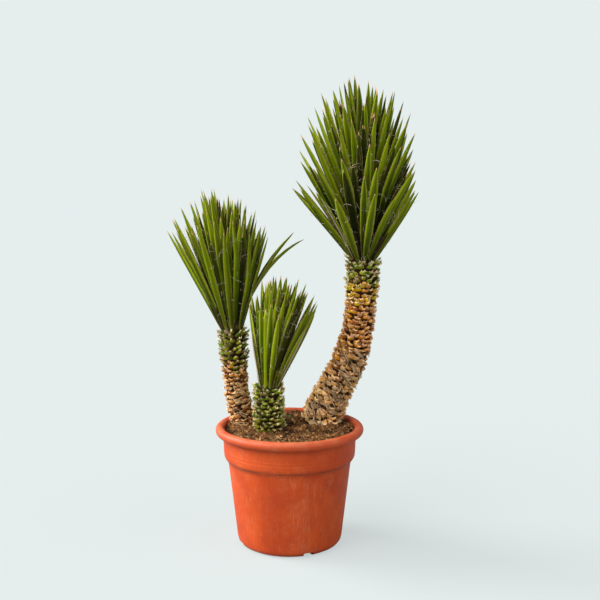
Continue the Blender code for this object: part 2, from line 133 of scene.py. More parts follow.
def closed(rings, poles):
    """The points and faces of rings that follow each other, closed at both ends by a point."""
    rows, columns = rings.shape[:2]
    last = rows * columns
    return np.vstack([rings.reshape(-1, 3), poles]), [
        grid_faces(rows, columns), fan_faces(0, columns, last)[:, ::-1],
        fan_faces(last - columns, columns, last + 1)]


def copied(faces, count, size):
    """The faces of one copy repeated for each copy, whose points follow each other in blocks of a size."""
    first = (np.arange(count) * size)[:, None, None]
    return [(part + first).reshape(-1, part.shape[1]) for part in faces]


def new_piece(name, points, faces, finish, slot, node=None, body="root", sharp=40, **attributes):
    """A mesh object from an array of points and arrays of faces. An attribute holds one number or one
    colour for each point, or one number for all, and across and along make the piece's own UV map. Edges
    sharper than an angle in degrees stay crisp."""
    mesh = bpy.data.meshes.new(name)
    corners = np.concatenate([part.ravel() for part in faces])
    sizes = np.concatenate([np.full(len(part), part.shape[1]) for part in faces])
    mesh.vertices.add(len(points))
    mesh.vertices.foreach_set("co", np.asarray(points, np.float32).ravel())
    mesh.loops.add(len(corners))
    mesh.loops.foreach_set("vertex_index", corners.astype(np.int32))
    mesh.polygons.add(len(sizes))
    mesh.polygons.foreach_set("loop_start", np.concatenate([[0], np.cumsum(sizes)[:-1]]).astype(np.int32))
    mesh.update(calc_edges=True)
    for key, values in attributes.items():
        if np.isscalar(values):
            attributes[key] = np.full(len(points), values)
    if "across" in attributes:
        flat = np.stack([attributes.pop("across"), attributes.pop("along")], axis=-1)
        mesh.uv_layers.new(name="Surface").data.foreach_set("uv", flat[corners].astype(np.float32).ravel())
    for key, values in attributes.items():
        if values.ndim == 1:
            mesh.attributes.new(key, "FLOAT", "POINT").data.foreach_set("value", values.astype(np.float32))
        else:
            full = np.column_stack([values, np.ones(len(values))]).astype(np.float32)
            mesh.attributes.new(key, "FLOAT_COLOR", "POINT").data.foreach_set("color", full.ravel())
    mesh.validate()
    mesh.shade_smooth()
    mesh.set_sharp_from_angle(angle=math.radians(sharp))
    mesh.materials.append(finish)
    piece = bpy.data.objects.new(name, mesh)
    bpy.context.scene.collection.objects.link(piece)
    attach(piece, body)
    if node:
        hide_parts(node)
    return piece


def pot_outline():
    """Once round the wall's section: centre pad, foot ring, body, shoulder, band, rolled rim, then the
    inside."""
    bead = (RIM_RADIUS - BEAD_RADIUS, POT_HEIGHT - BEAD_RADIUS)
    slope = (NECK_RADIUS - BAND_RADIUS) / (bead[1] - BAND_HEIGHT)
    lines = []
    for height in BAND_LINES:
        wall = BAND_RADIUS + slope * (height - BAND_HEIGHT)
        lines += [(wall, height - BAND_LINE_WIDTH, 0.0004), (wall + BAND_LINE_RISE, height, 0.0004)]
        lines += [(wall, height + BAND_LINE_WIDTH, 0.0004)]
    outside = rounded([
        (0, 0.0004, 0), (PAD_RADIUS, 0, 0.001), (PAD_RADIUS + 0.004, RECESS, 0.001),
        (FOOT_RING_INSIDE, RECESS, 0.001), (FOOT_RING_INSIDE, 0, 0.0008), (FOOT_RADIUS, 0, FOOT_BEND),
        (SHOULDER_RADIUS, SHOULDER_HEIGHT, 0.0030),
        (SHOULDER_RADIUS + 0.0012, SHOULDER_HEIGHT + 0.0065, 0.0025),
        (BAND_RADIUS - 0.0004, BAND_HEIGHT - 0.0012, 0.0040), (BAND_RADIUS, BAND_HEIGHT + 0.004, 0.0010),
        *lines, (NECK_RADIUS, bead[1] - 0.004, 0)])
    curl = math.acos((NECK_RADIUS - bead[0]) / (BEAD_RADIUS - WALL))
    inside = rounded([
        (NECK_RADIUS - WALL, bead[1], 0), (BAND_RADIUS - WALL, BAND_HEIGHT, 0.003),
        (SHOULDER_RADIUS - WALL, SHOULDER_HEIGHT, 0.003), (FOOT_RADIUS - WALL, RECESS + WALL, 0.009),
        (PAD_RADIUS + 0.003, RECESS + WALL, 0.001), (PAD_RADIUS - 0.0012, WALL, 0.001), (0, WALL, 0)])
    return np.vstack([outside, arc(bead, BEAD_RADIUS - WALL, curl, RIM_LIP, 14),
                      arc(bead, BEAD_RADIUS, RIM_LIP, RIM_INNER, 26), inside])


def pot_surface():
    """The outline turned about Z: point (k, a) is the k-th outline point at the angle a. Where a notch is,
    the foot ring's height is the larger of its own and the notch's, which falls off in a straight slope at
    both sides."""
    outline = pot_outline()
    edges = [NOTCH_FIRST + k * 2 * math.pi / NOTCH_COUNT + side * half / FOOT_RADIUS
             for k in range(NOTCH_COUNT) for side in (-1, 1) for half in (NOTCH_HALF_WIDTH, NOTCH_TOP_HALF)]
    even = circle(POT_COLUMNS)
    turn = np.sort(np.concatenate([even, np.mod(edges, 2 * math.pi)]))
    from_notch = np.mod(turn - NOTCH_FIRST + math.pi / NOTCH_COUNT, 2 * math.pi / NOTCH_COUNT)
    off = np.abs(from_notch - math.pi / NOTCH_COUNT) * FOOT_RADIUS
    notch = NOTCH_HEIGHT * np.clip((NOTCH_HALF_WIDTH - off) / (NOTCH_HALF_WIDTH - NOTCH_TOP_HALF), 0, 1)
    radius, height = outline[1:-1, 0:1], outline[1:-1, 1:2]
    lifted = np.where((radius > PAD_RADIUS * 2) & (height < notch), notch, height + 0 * turn)
    rings = np.stack([radius * np.cos(turn), radius * np.sin(turn), lifted], axis=-1)
    return closed(rings, np.array([(0, 0, outline[0, 1]), (0, 0, outline[-1, 1])]))


def drain_cutter():
    """Upright cylinders through the pot's floor, one for each drain hole, as one mesh."""
    sides = 20
    turn, place = circle(sides), circle(DRAIN_COUNT)[:, None, None]
    level = np.array((RECESS / 2, RECESS + 4 * WALL))[:, None]
    x = DRAIN_CIRCLE * np.cos(place) + DRAIN_RADIUS * np.cos(turn) + 0 * level
    y = DRAIN_CIRCLE * np.sin(place) + DRAIN_RADIUS * np.sin(turn) + 0 * level
    caps = np.stack([np.arange(sides)[::-1], np.arange(sides) + sides])
    points = np.stack([x, y, level + 0 * x], axis=-1).reshape(-1, 3)
    return points, copied([grid_faces(2, sides), caps], DRAIN_COUNT, 2 * sides)


class Field:
    """A value or a colour that varies over a surface: one output of a node. A sum on fields makes a Math
    node."""

    def __init__(self, made, name=None):
        """The output with a name, or the first one that is in use."""
        self.tree = made.id_data
        self.socket = next(s for s in made.outputs if s.enabled and name in (None, s.name))

    def __add__(self, other):
        return math_of("ADD", self, other)

    def __sub__(self, other):
        return math_of("SUBTRACT", self, other)

    def __mul__(self, other):
        return math_of("MULTIPLY", self, other)

    def __abs__(self):
        return math_of("ABSOLUTE", self)


def feed(socket, value):
    """Gives an input socket a field, a number or a colour."""
    if isinstance(value, Field):
        value.tree.links.new(value.socket, socket)
    else:
        socket.default_value = (*value, 1.0) if socket.type == "RGBA" and len(value) == 3 else value


def add(tree, kind, settings=(), **inputs):
    """A shader node: settings are its properties, and each input is a field, a number or a colour."""
    made = tree.nodes.new("ShaderNode" + kind)
    for key, value in dict(settings).items():
        setattr(made, key, value)
    for key, value in inputs.items():
        feed(next(s for s in made.inputs if s.enabled and s.name == key.replace("_", " ")), value)
    return made


def mixed(share, a, b):
    """Two colours mixed: a where the share is 0, b where it is 1."""
    return Field(add(share.tree, "Mix", {"data_type": "RGBA"}, Factor=share, A=a, B=b))


def layered(colour, *layers):
    """A colour under layers, each given by its share and its own colour, the lowest first."""
    for share, over in layers:
        colour = mixed(share, colour, over)
    return colour


def math_of(how, *values):
    """One sum on one or two values, of which the first is a field."""
    made = add(values[0].tree, "Math", {"operation": how})
    for socket, value in zip(made.inputs, values):
        feed(socket, value)
    return Field(made)


def stepped(value, low, high, to_low=0.0, to_high=1.0):
    """A smooth step: to_low where value is under low, to_high where it is over high."""
    return Field(add(value.tree, "MapRange", {"interpolation_type": "SMOOTHSTEP"}, Value=value, From_Min=low,
                     From_Max=high, To_Min=to_low, To_Max=to_high))


def noise(place, scale, detail=4.0, roughness=0.55, stretch=None):
    """Fractal noise from 0 to 1, its pattern stretched along the axes where stretch says so."""
    if stretch:
        place = Field(add(place.tree, "Mapping", Vector=place, Scale=stretch))
    made = add(place.tree, "TexNoise", Vector=place, Scale=scale, Detail=detail, Roughness=roughness)
    return Field(made, "Fac")


def new_group(name, **inputs):
    """An empty node group with one output, its mask; gives its tree and a field for each named input."""
    tree = bpy.data.node_groups.new(name, "ShaderNodeTree")
    for label, kind in inputs.items():
        tree.interface.new_socket(label, in_out="INPUT", socket_type="NodeSocket" + kind)
    tree.interface.new_socket("Mask", in_out="OUTPUT", socket_type="NodeSocketFloat")
    given = tree.nodes.new("NodeGroupInput")
    return tree, [Field(given, label) for label in inputs]


def masked(mask):
    """Feeds a node group's output, and gives the group."""
    feed(mask.tree.nodes.new("NodeGroupOutput").inputs["Mask"], mask)
    return mask.tree


def object_place(tree):
    """Where a point is in the frame of its object."""
    return Field(tree.nodes.new("ShaderNodeTexCoord"), "Object")


def flat_place(tree):
    """Where a point is on its piece's own UV map: how far across and how far along."""
    flat = add(tree, "SeparateXYZ", Vector=Field(tree.nodes.new("ShaderNodeTexCoord"), "UV"))
    return Field(flat, "X"), Field(flat, "Y")


def new_material(name, **constants):
    """A material with only a Principled shader, with values that are the same all over set on its own
    sockets."""
    made = bpy.data.materials.new(name)
    made.use_nodes = True
    for key, value in constants.items():
        made.node_tree.nodes["Principled BSDF"].inputs[key.replace("_", " ")].default_value = value
    return made, made.node_tree


def finished(made, colour, rough, height, distance, strength):
    """Feeds a material's shader: its colour, its roughness, and a height through a Bump node."""
    bump = Field(add(made.node_tree, "Bump", Height=height, Distance=distance, Strength=strength))
    for key, value in (("Base Color", colour), ("Roughness", rough), ("Normal", bump)):
        feed(made.node_tree.nodes["Principled BSDF"].inputs[key], value)
    return made


def dust_group():
    """Where dust and dried splashes lie: soft noise cut at a level, thicker on what faces up."""
    tree, (place, scale, amount) = new_group("settled_dust", Vector="Vector", Scale="Float", Amount="Float")
    facing = add(tree, "SeparateXYZ", Vector=Field(tree.nodes.new("ShaderNodeNewGeometry"), "Normal"))
    level = noise(place, scale, 8.0, 0.62) + stepped(Field(facing, "Z"), -0.2, 1.0) * 0.16
    level = level + (noise(place, scale * 9.0, 4.0, 0.7) - 0.5) * 0.35
    return masked(stepped(level, 0.52, 0.78) * amount)


def pot_plastic():
    """Sun-faded orange plastic: upright drawing marks, a haze of dust in blotches and fine upright runs,
    pale specks and scuffs, and dirt in the crease under the band and along the foot."""
    made, tree = new_material("pot_plastic", Specular_IOR_Level=0.30)
    place = object_place(tree)
    height = Field(add(tree, "SeparateXYZ", Vector=place), "Z")
    broad = noise(place, 45.0, 3.0, 0.6, (1, 1, 0.05))
    drawn = noise(place, 210.0, 4.0, 0.7, (1, 1, 0.05))
    cloud = noise(place, 9.0, 6.0, 0.65)
    speck = noise(place, 520.0, 3.0, 0.7)
    haze = Field(add(tree, "Group", {"node_tree": DUST}, Vector=place, Scale=26.0, Amount=0.24))
    runs = stepped(drawn, 0.48, 0.74) * stepped(cloud, 0.40, 0.62, 0.06, 0.40)
    scuff = math_of("MAXIMUM", haze, runs * stepped(height, 0.184, 0.196, 1.0, 0.3))
    crease = abs(height - CREASE_HEIGHT) + (drawn - 0.5) * CREASE_SWAY
    dirt = math_of("MAXIMUM", stepped(crease, 0.0006, 0.0030, 1.0, 0.0),
                   stepped(height, 0.001, 0.010, 0.8, 0.0))
    colour = layered(
        mixed(stepped(cloud, 0.36, 0.66), POT_DEEP, POT_ORANGE),
        (stepped(broad, 0.35, 0.75, 0.0, 0.35), POT_DEEP),
        (stepped(height, 0.236, 0.246, 0.0, 0.45), POT_PINK),
        (scuff, POT_DUST),
        (stepped(speck, 0.60, 0.72, 0.0, 0.50), POT_DUST),
        (stepped(speck, 0.24, 0.36, 0.35, 0.0), POT_DIRT),
        (dirt * stepped(noise(place, 16.0), 0.36, 0.62, 0.05, 0.80), POT_DIRT))
    relief = drawn * 0.35 + speck * 0.25 + cloud * 0.8
    return finished(made, colour, scuff * 0.45 + 0.42 + cloud * 0.12, relief, 0.0008, 0.5)


DUST = dust_group()
POT_PLASTIC = pot_plastic()
pot = new_piece("nursery_pot", *pot_surface(), POT_PLASTIC, "pot_plastic", "pot", sharp=50)
drains = new_piece("drain_cutter", *drain_cutter(), POT_PLASTIC, "pot_plastic")
cut = pot.modifiers.new("Drains", "BOOLEAN")
cut.operation, cut.object, cut.solver = "DIFFERENCE", drains, "EXACT"
pot.data = bpy.data.meshes.new_from_object(pot.evaluated_get(bpy.context.evaluated_depsgraph_get()))
pot.modifiers.clear()
bpy.data.objects.remove(drains)


# The soil
# A potting mix of coir, bark and peat, heaped round the three stems. It fills the pot as one body, with
# loose crumbs and chips of bark and short coir fibres lying on top.

SOIL_EDGE_LEVEL = 0.2455
SOIL_RISE_TO_BACK = 0.0015
SOIL_HEAPS = (
    ((0.072, 0.058), 0.070, 0.0090),
    ((-0.102, 0.040), 0.055, 0.0050),
    ((-0.044, 0.000), 0.075, 0.0040),
    ((0.000, 0.105), 0.060, 0.0060),
)
SOIL_LUMPS = ((0.016, 0.0030), (0.0075, 0.0026), (0.0036, 0.0022))
SOIL_GAP = 0.0006
SOIL_SUNK = 0.0015
SOIL_ROWS = 78
SOIL_COLUMNS = 330
CRUMB_COUNT = 5200
CRUMB_SIZES = (0.0008, 0.0040)
CRUMB_REACH = 0.985 * (NECK_RADIUS - WALL - 0.003)
FIBRE_COUNT = 1900
FIBRE_REACH = 0.97 * (NECK_RADIUS - 0.004)
FIBRE_LENGTHS = (0.005, 0.018)
STRAND_SIDES = 3
SOIL_DARK = (0.015, 0.007, 0.0035)
SOIL_BROWN = (0.225, 0.095, 0.029)
SOIL_TAN = (0.560, 0.310, 0.122)


def lumps(x, y, size, seed):
    """Smooth noise from -1 to 1: random heights on a square lattice of a size, blended between its
    corners."""
    lattice = np.random.default_rng(seed).uniform(-1, 1, (256, 256))
    u, v = x / size + 128, y / size + 128
    i, j = np.floor(u).astype(int), np.floor(v).astype(int)
    s, t = u - i, v - j
    s, t = s * s * (3 - 2 * s), t * t * (3 - 2 * t)
    low = lattice[i % 256, j % 256] * (1 - s) + lattice[(i + 1) % 256, j % 256] * s
    high = lattice[i % 256, (j + 1) % 256] * (1 - s) + lattice[(i + 1) % 256, (j + 1) % 256] * s
    return low * (1 - t) + high * t


def soil_top(x, y):
    """The edge level, rising to the back, plus each heap as height times exp(-(distance / reach) squared),
    plus three sizes of lumps."""
    height = SOIL_EDGE_LEVEL + SOIL_RISE_TO_BACK * y / NECK_RADIUS
    for (foot_x, foot_y), reach, heap in SOIL_HEAPS:
        height = height + heap * np.exp(-((x - foot_x) ** 2 + (y - foot_y) ** 2) / reach**2)
    height = height + 0.0010 * np.sin(61 * x + 1.3) * np.cos(53 * y - 0.4) - SOIL_SUNK
    for k, (size, rise) in enumerate(SOIL_LUMPS):
        height = height + rise * lumps(x, y, size, 40 + k)
    return height


def soil_surface():
    """Rings of points: from the middle of the floor out and up the wall, then over the top to its
    middle."""
    turn = circle(SOIL_COLUMNS)
    edge = float(np.interp(SOIL_EDGE_LEVEL, (BAND_HEIGHT, POT_HEIGHT), (BAND_RADIUS, NECK_RADIUS)))
    edge = edge - WALL - SOIL_GAP
    radius = edge * np.linspace(1, 0.01, SOIL_ROWS)[:, None]
    x, y = radius * np.cos(turn), radius * np.sin(turn)
    top = np.stack([x, y, soil_top(x, y)], axis=-1)
    wall = np.array([(PAD_RADIUS - 0.002, WALL + SOIL_GAP), (PAD_RADIUS + 0.002, RECESS + WALL + SOIL_GAP),
                     (FOOT_RADIUS - FOOT_BEND, RECESS + WALL + SOIL_GAP),
                     (FOOT_RADIUS - WALL - SOIL_GAP, FOOT_BEND + 0.008),
                     (SHOULDER_RADIUS - WALL - SOIL_GAP, SHOULDER_HEIGHT),
                     (BAND_RADIUS - WALL - SOIL_GAP, BAND_HEIGHT)])
    x, y = wall[:, 0:1] * np.cos(turn), wall[:, 0:1] * np.sin(turn)
    side = np.stack([x, y, wall[:, 1:2] + 0 * x], axis=-1)
    poles = np.array([(0, 0, WALL + SOIL_GAP), (0, 0, soil_top(np.zeros(1), np.zeros(1))[0])])
    return closed(np.concatenate([side, top]), poles)


def turned_frames(draw, count):
    """Random directions: three unit vectors square to each other for each copy."""
    a = unit(draw.normal(size=(count, 3)))
    b = unit(np.cross(a, draw.normal(size=(count, 3))))
    return np.stack([a, b, np.cross(a, b)], axis=1)


def crumb_surface():
    """Lumpy grains: each is a twelve-cornered ball whose points are pushed in or out at random, stretched
    along three random directions and set half into the soil."""
    draw = np.random.default_rng(51)
    low, high = (np.stack([0.89 * np.cos(turn), 0.89 * np.sin(turn), 0 * turn + level], axis=-1)
                 for turn, level in ((circle(5), -0.45), (circle(5) + math.pi / 5, 0.45)))
    ball = np.vstack([low, high, [(0, 0, -1), (0, 0, 1)]])
    k = np.arange(5)
    after = (k + 1) % 5
    faces = [np.vstack([np.stack([k, after, k + 5], -1), np.stack([after, after + 5, k + 5], -1),
                        np.stack([after, k, 0 * k + 10], -1), np.stack([k + 5, after + 5, 0 * k + 11], -1)])]
    reach = CRUMB_REACH * np.sqrt(draw.uniform(0, 1, CRUMB_COUNT))
    turn = draw.uniform(0, 2 * math.pi, CRUMB_COUNT)
    x, y = reach * np.cos(turn), reach * np.sin(turn)
    low, high = CRUMB_SIZES
    size = low + (high - low) * draw.uniform(0, 1, CRUMB_COUNT) ** 2.4
    stretch = size[:, None] * draw.uniform((0.9, 0.5, 0.25), (1.7, 1.0, 0.6), (CRUMB_COUNT, 3))
    lumpy = ball[None] * draw.uniform(0.70, 1.25, (CRUMB_COUNT, 12, 1))
    middle = np.stack([x, y, soil_top(x, y) + 0.35 * size], axis=-1)
    frames = turned_frames(draw, CRUMB_COUNT)
    points = np.einsum("nkc,nc,ncd->nkd", lumpy, stretch, frames) + middle[:, None]
    tone = np.repeat(draw.uniform(0, 1, CRUMB_COUNT), 12)
    return points.reshape(-1, 3), copied(faces, CRUMB_COUNT, 12), tone


def marked(tree, *keys):
    """The numbers that a piece's points carry under some names."""
    return [Field(add(tree, "Attribute", {"attribute_name": key}), "Fac") for key in keys]


def soil_material():
    """Damp and dry grains side by side: dark and brown in patches, straw-coloured on some lumps, and
    small dark spots that are painted shade in the gaps between grains.
    """
    made, tree = new_material("soil", Specular_IOR_Level=0.25)
    place = object_place(tree)
    tone, = marked(tree, "tone")
    grain = noise(place, 520.0, 4.0, 0.7)
    cells = Field(add(tree, "TexVoronoi", Vector=place, Scale=300.0), "Distance")
    colour = layered(
        mixed(stepped(noise(place, 34.0, 5.0, 0.6) + grain * 0.5, 0.55, 0.95), SOIL_DARK, SOIL_BROWN),
        (stepped(tone, 0.55, 1.0) * stepped(grain, 0.30, 0.60, 0.4, 1.0), SOIL_TAN),
        # Painted shade: small dark spots standing for the gaps between grains.
        (stepped(cells, 0.0, 0.35, 0.55, 0.0), SOIL_DARK))
    return finished(made, colour, stepped(grain, 0.2, 0.8, 0.80, 1.0), grain + cells, 0.0012, 0.8)


def strand_surface(line, wide, thick, facing):
    """Closed strands along lines of points. The section is a triangle, wide one way and thick along facing,
    and both fall towards the ends as the root of a half sine."""
    count, rows = line.shape[:2]
    ahead = unit(np.gradient(line, axis=1))
    across = unit(np.cross(ahead, facing))
    over = np.cross(across, ahead)
    taper = 0.2 + 0.8 * np.sqrt(np.sin(math.pi * np.linspace(0, 1, rows)).clip(0))
    flat = np.outer(taper, np.cos(circle(STRAND_SIDES))) * wide[:, None, None]
    high = np.outer(taper, np.sin(circle(STRAND_SIDES))) * thick[:, None, None]
    points = line[:, :, None] + flat[..., None] * across[:, :, None] + high[..., None] * over[:, :, None]
    size = rows * STRAND_SIDES
    ends = np.stack([np.arange(STRAND_SIDES), np.arange(size - 1, size - 1 - STRAND_SIDES, -1)])
    return points.reshape(-1, 3), copied([grid_faces(rows, STRAND_SIDES)[:, ::-1], ends], count, size), size


def soil_fibres():
    """Short coir fibres lying about on the soil, each bowed a little."""
    draw = np.random.default_rng(52)
    count = FIBRE_COUNT
    reach = FIBRE_REACH * np.sqrt(draw.uniform(0, 1, count))
    turn = draw.uniform(0, 2 * math.pi, count)
    x, y = reach * np.cos(turn), reach * np.sin(turn)
    way = draw.uniform(0, 2 * math.pi, count)
    length = draw.uniform(*FIBRE_LENGTHS, count)
    room = np.minimum(1.0, np.maximum(0.2, (NECK_RADIUS - 0.005 - reach) / length + 0.3))
    length = length * room
    root = np.stack([x, y, soil_top(x, y) + 0.0009], axis=-1)
    tip_x, tip_y = x + length * np.cos(way), y + length * np.sin(way)
    inside = np.hypot(tip_x, tip_y) < NECK_RADIUS - WALL - 0.002
    tip_x, tip_y = np.where(inside, tip_x, 2 * x - tip_x), np.where(inside, tip_y, 2 * y - tip_y)
    tip = np.stack([tip_x, tip_y, soil_top(tip_x, tip_y) + 0.0012], axis=-1)
    up = np.array((0.0, 0.0, 1.0))
    t = np.linspace(0, 1, 6)[:, None]
    bow = (draw.uniform(-0.18, 0.18, count) * length)[:, None, None] * np.sin(math.pi * t)
    line = root[:, None] + t * (tip - root)[:, None] + bow * unit(np.cross(tip - root, up))[:, None]
    thin = draw.uniform(0.00022, 0.00070, count)
    points, faces, size = strand_surface(line, thin, thin, up)
    return points, faces, np.repeat(draw.uniform(0.35, 1, count), size)


SOIL = soil_material()
soil_points, soil_faces = soil_surface()
new_piece("soil_body", soil_points, soil_faces, SOIL, "soil", "soil", tone=0.35)
crumb_points, crumb_faces, crumb_tone = crumb_surface()
new_piece("soil_crumbs", crumb_points, crumb_faces, SOIL, "soil", sharp=30, tone=crumb_tone)
fibre_points, fibre_faces, fibre_tone = soil_fibres()
new_piece("soil_fibres", fibre_points, fibre_faces, SOIL, "soil", tone=fibre_tone)


# The stems
# Three living stems, each a woody core hidden under the cut bases of old leaves, which overlap like tiles.
# They are green at the top, then yellow and rust, and dry and straw-coloured at the foot, with loose fibres.

TALL_LINE = (
    (0.050, 0.050, 0.185), (0.0705, 0.050, 0.258), (0.099, 0.047, 0.327), (0.131, 0.042, 0.393),
    (0.148, 0.038, 0.462), (0.156, 0.034, 0.535), (0.159, 0.030, 0.607), (0.1592, 0.026, 0.690),
    (0.1600, 0.022, 0.775),
)
TALL_RADII = (0.037, 0.038, 0.036, 0.0315, 0.0315, 0.0275, 0.0275, 0.029, 0.030)
TALL_JOINTS = (0.538, 0.607)
LEFT_LINE = (
    (-0.100, 0.036, 0.185), (-0.1035, 0.038, 0.258), (-0.113, 0.040, 0.303), (-0.120, 0.043, 0.347),
    (-0.1232, 0.046, 0.402), (-0.1263, 0.050, 0.451), (-0.1320, 0.056, 0.520), (-0.1395, 0.062, 0.580),
)
LEFT_RADII = (0.0215, 0.0225, 0.0225, 0.0200, 0.0215, 0.0245, 0.0255)
LEFT_JOINTS = (0.378, 0.451)
SHORT_LINE = (
    (-0.043, -0.006, 0.185), (-0.0442, -0.007, 0.250), (-0.0455, -0.009, 0.295), (-0.0448, -0.012, 0.340),
    (-0.0400, -0.017, 0.380), (-0.0345, -0.023, 0.425),
)
SHORT_RADII = (0.0240, 0.0255, 0.0260, 0.0250, 0.0240)
SHORT_JOINTS = (0.340,)
DIRECTION_STEP = 0.004
BARK_INSET = 0.0012
BASE_SUNK = 0.0026
BASE_ACROSS = (1.0, 0.80, 0.42, 0.0, -0.42, -0.80, -1.0, -0.70, -0.25, 0.25, 0.70)
BASE_OUTSIDE = (1, 1, 1, 1, 1, 1, 1, 0, 0, 0, 0)
BASE_TEARS = (0, 1, 2, 3, 4, 5, 6, 5, 4, 2, 1)
BASE_STOPS = (0.0, 0.30, 0.55, 0.78, 0.92, 1.0, 0.96)
BASE_INSETS = (1.0, 1.0, 1.0, 1.0, 1.0, 1.0, 0.55)
BASE_CUT_SHARES = (0.0, 0.0, 0.0, 0.0, 0.0, 0.50, 1.0)
BAND_SWAY = 0.012
FRESH_SWAY = 0.02
SHRED_LENGTHS = (0.012, 0.036)
SHRED_SLANTS = (52, 68, 118, 20)
SHRED_SLANT_ODDS = (0.5, 0.34, 0.08, 0.08)
# Painted shade: the near-black colour of the core where it shows between the leaf bases.
BARK_PAINTED_SHADE = (0.032, 0.017, 0.008)
GREEN = ((0.080, 0.200, 0.003), (0.210, 0.370, 0.006), (0.220, 0.180, 0.030), (0.360, 0.430, 0.014))
YELLOW = ((0.920, 0.620, 0.004), (0.640, 0.560, 0.008), (0.920, 0.460, 0.012), (0.560, 0.320, 0.060))
RUST = ((0.950, 0.420, 0.010), (0.460, 0.160, 0.040), (0.560, 0.260, 0.100), (0.900, 0.330, 0.030))
BROWN = ((0.940, 0.480, 0.100), (0.560, 0.270, 0.110), (0.800, 0.480, 0.230), (0.460, 0.170, 0.045))
STRAW = ((0.970, 0.660, 0.240), (0.970, 0.760, 0.420), (0.970, 0.540, 0.130), (0.930, 0.620, 0.300))
COPPER = ((0.760, 0.400, 0.120), (0.470, 0.180, 0.045), (0.780, 0.520, 0.225), (0.400, 0.155, 0.040))
FRESH = ((0.120, 0.290, 0.004), (0.330, 0.540, 0.008), (0.230, 0.300, 0.020), (0.500, 0.600, 0.020))
SHEATH = ((0.700, 0.460, 0.300), (0.240, 0.280, 0.020), (0.780, 0.560, 0.380), (0.180, 0.200, 0.012))
# Shred colours from the lowest to the highest: the darkest are painted shade under the others.
FIBRE = ((0.034, 0.019, 0.010), (0.120, 0.072, 0.036), (0.300, 0.205, 0.118), (0.520, 0.385, 0.240))
# Painted shade for the recess at the root of each leaf base.
BASE_ROOT_PAINTED_SHADE = (0.024, 0.012, 0.005)
BASE_WARM = (0.260, 0.080, 0.018)
BASE_TAN = (0.180, 0.110, 0.040)
LIP_DRY = (0.970, 0.680, 0.390)
LIP_FRESH = (0.960, 0.830, 0.560)
BASE_HOLLOW = (0.300, 0.140, 0.050)


class Stem:
    """A stem's middle line and radius, both read by the length along it, and where its joints are."""

    def __init__(self, points, radii, joint_heights):
        """The line is a Catmull-Rom curve: a cubic between two points that leaves each in the direction of
        the chord between its neighbours."""
        given = np.array(points)
        given = np.vstack([2 * given[0] - given[1], given, 2 * given[-1] - given[-2]])
        a, b, c, d = (given[k:len(given) - 3 + k, None] for k in range(4))
        t = np.linspace(0, 1, 12, endpoint=False)[None, :, None]
        dense = 0.5 * (2 * b + (c - a) * t + (2 * a - 5 * b + 4 * c - d) * t**2
                       + (3 * b - a - 3 * c + d) * t**3)
        self.line = np.vstack([dense.reshape(-1, 3), given[-2]])
        self.run = np.concatenate([[0.0], np.cumsum(np.linalg.norm(np.diff(self.line, axis=0), axis=1))])
        self.radii = radii
        self.joints = [self.where(height) for height in joint_heights]

    def at(self, along):
        """The point of the middle line at each length."""
        return np.stack([np.interp(along, self.run, self.line[:, k]) for k in range(3)], axis=-1)

    def outward(self, along, angle):
        """The direction of growth, and the direction square to it at an angle round the stem."""
        up = unit(self.at(along + DIRECTION_STEP) - self.at(along - DIRECTION_STEP))
        right = unit(np.cross((0.0, 1.0, 0.0), up))
        back = np.cross(up, right)
        return up, np.cos(angle)[..., None] * right + np.sin(angle)[..., None] * back

    def radius(self, along):
        """The radius at each length, in even steps from the lower end to the last joint."""
        return np.interp(along / self.joints[-1], np.linspace(0, 1, len(self.radii)), self.radii)

    def where(self, height):
        """The length along the line at which it reaches a height."""
        return float(np.interp(height, self.line[:, 2], self.run))


def tube(stem, start, end, rows, columns, radius):
    """A closed tube round a stem: radius gives its radius by the length along and the angle round."""
    along, turn = np.meshgrid(np.linspace(start, end, rows), circle(columns), indexing="ij")
    rings = stem.at(along) + radius(along, turn)[..., None] * stem.outward(along, turn)[1]
    return closed(rings, stem.at(np.array([start, end])))


def blades(rings, tips, **marks):
    """Closed blades from rows of rings: a flat face at the root and a point at the tip. A mark is its value
    over rows and sides, and its value at the tip. Gives points, faces, the points of each blade, and the
    marks."""
    count, rows, sides = rings.shape[:3]
    size = rows * sides + 1
    faces = [grid_faces(rows, sides), fan_faces(size - 1 - sides, sides, size - 1),
             np.arange(sides)[::-1][None]]
    points = np.concatenate([rings.reshape(count, -1, 3), tips], axis=1).reshape(-1, 3)
    even = {key: np.tile(np.append(np.broadcast_to(over, (rows, sides)), tip), count)
            for key, (over, tip) in marks.items()}
    return points, copied(faces, count, size), size, even


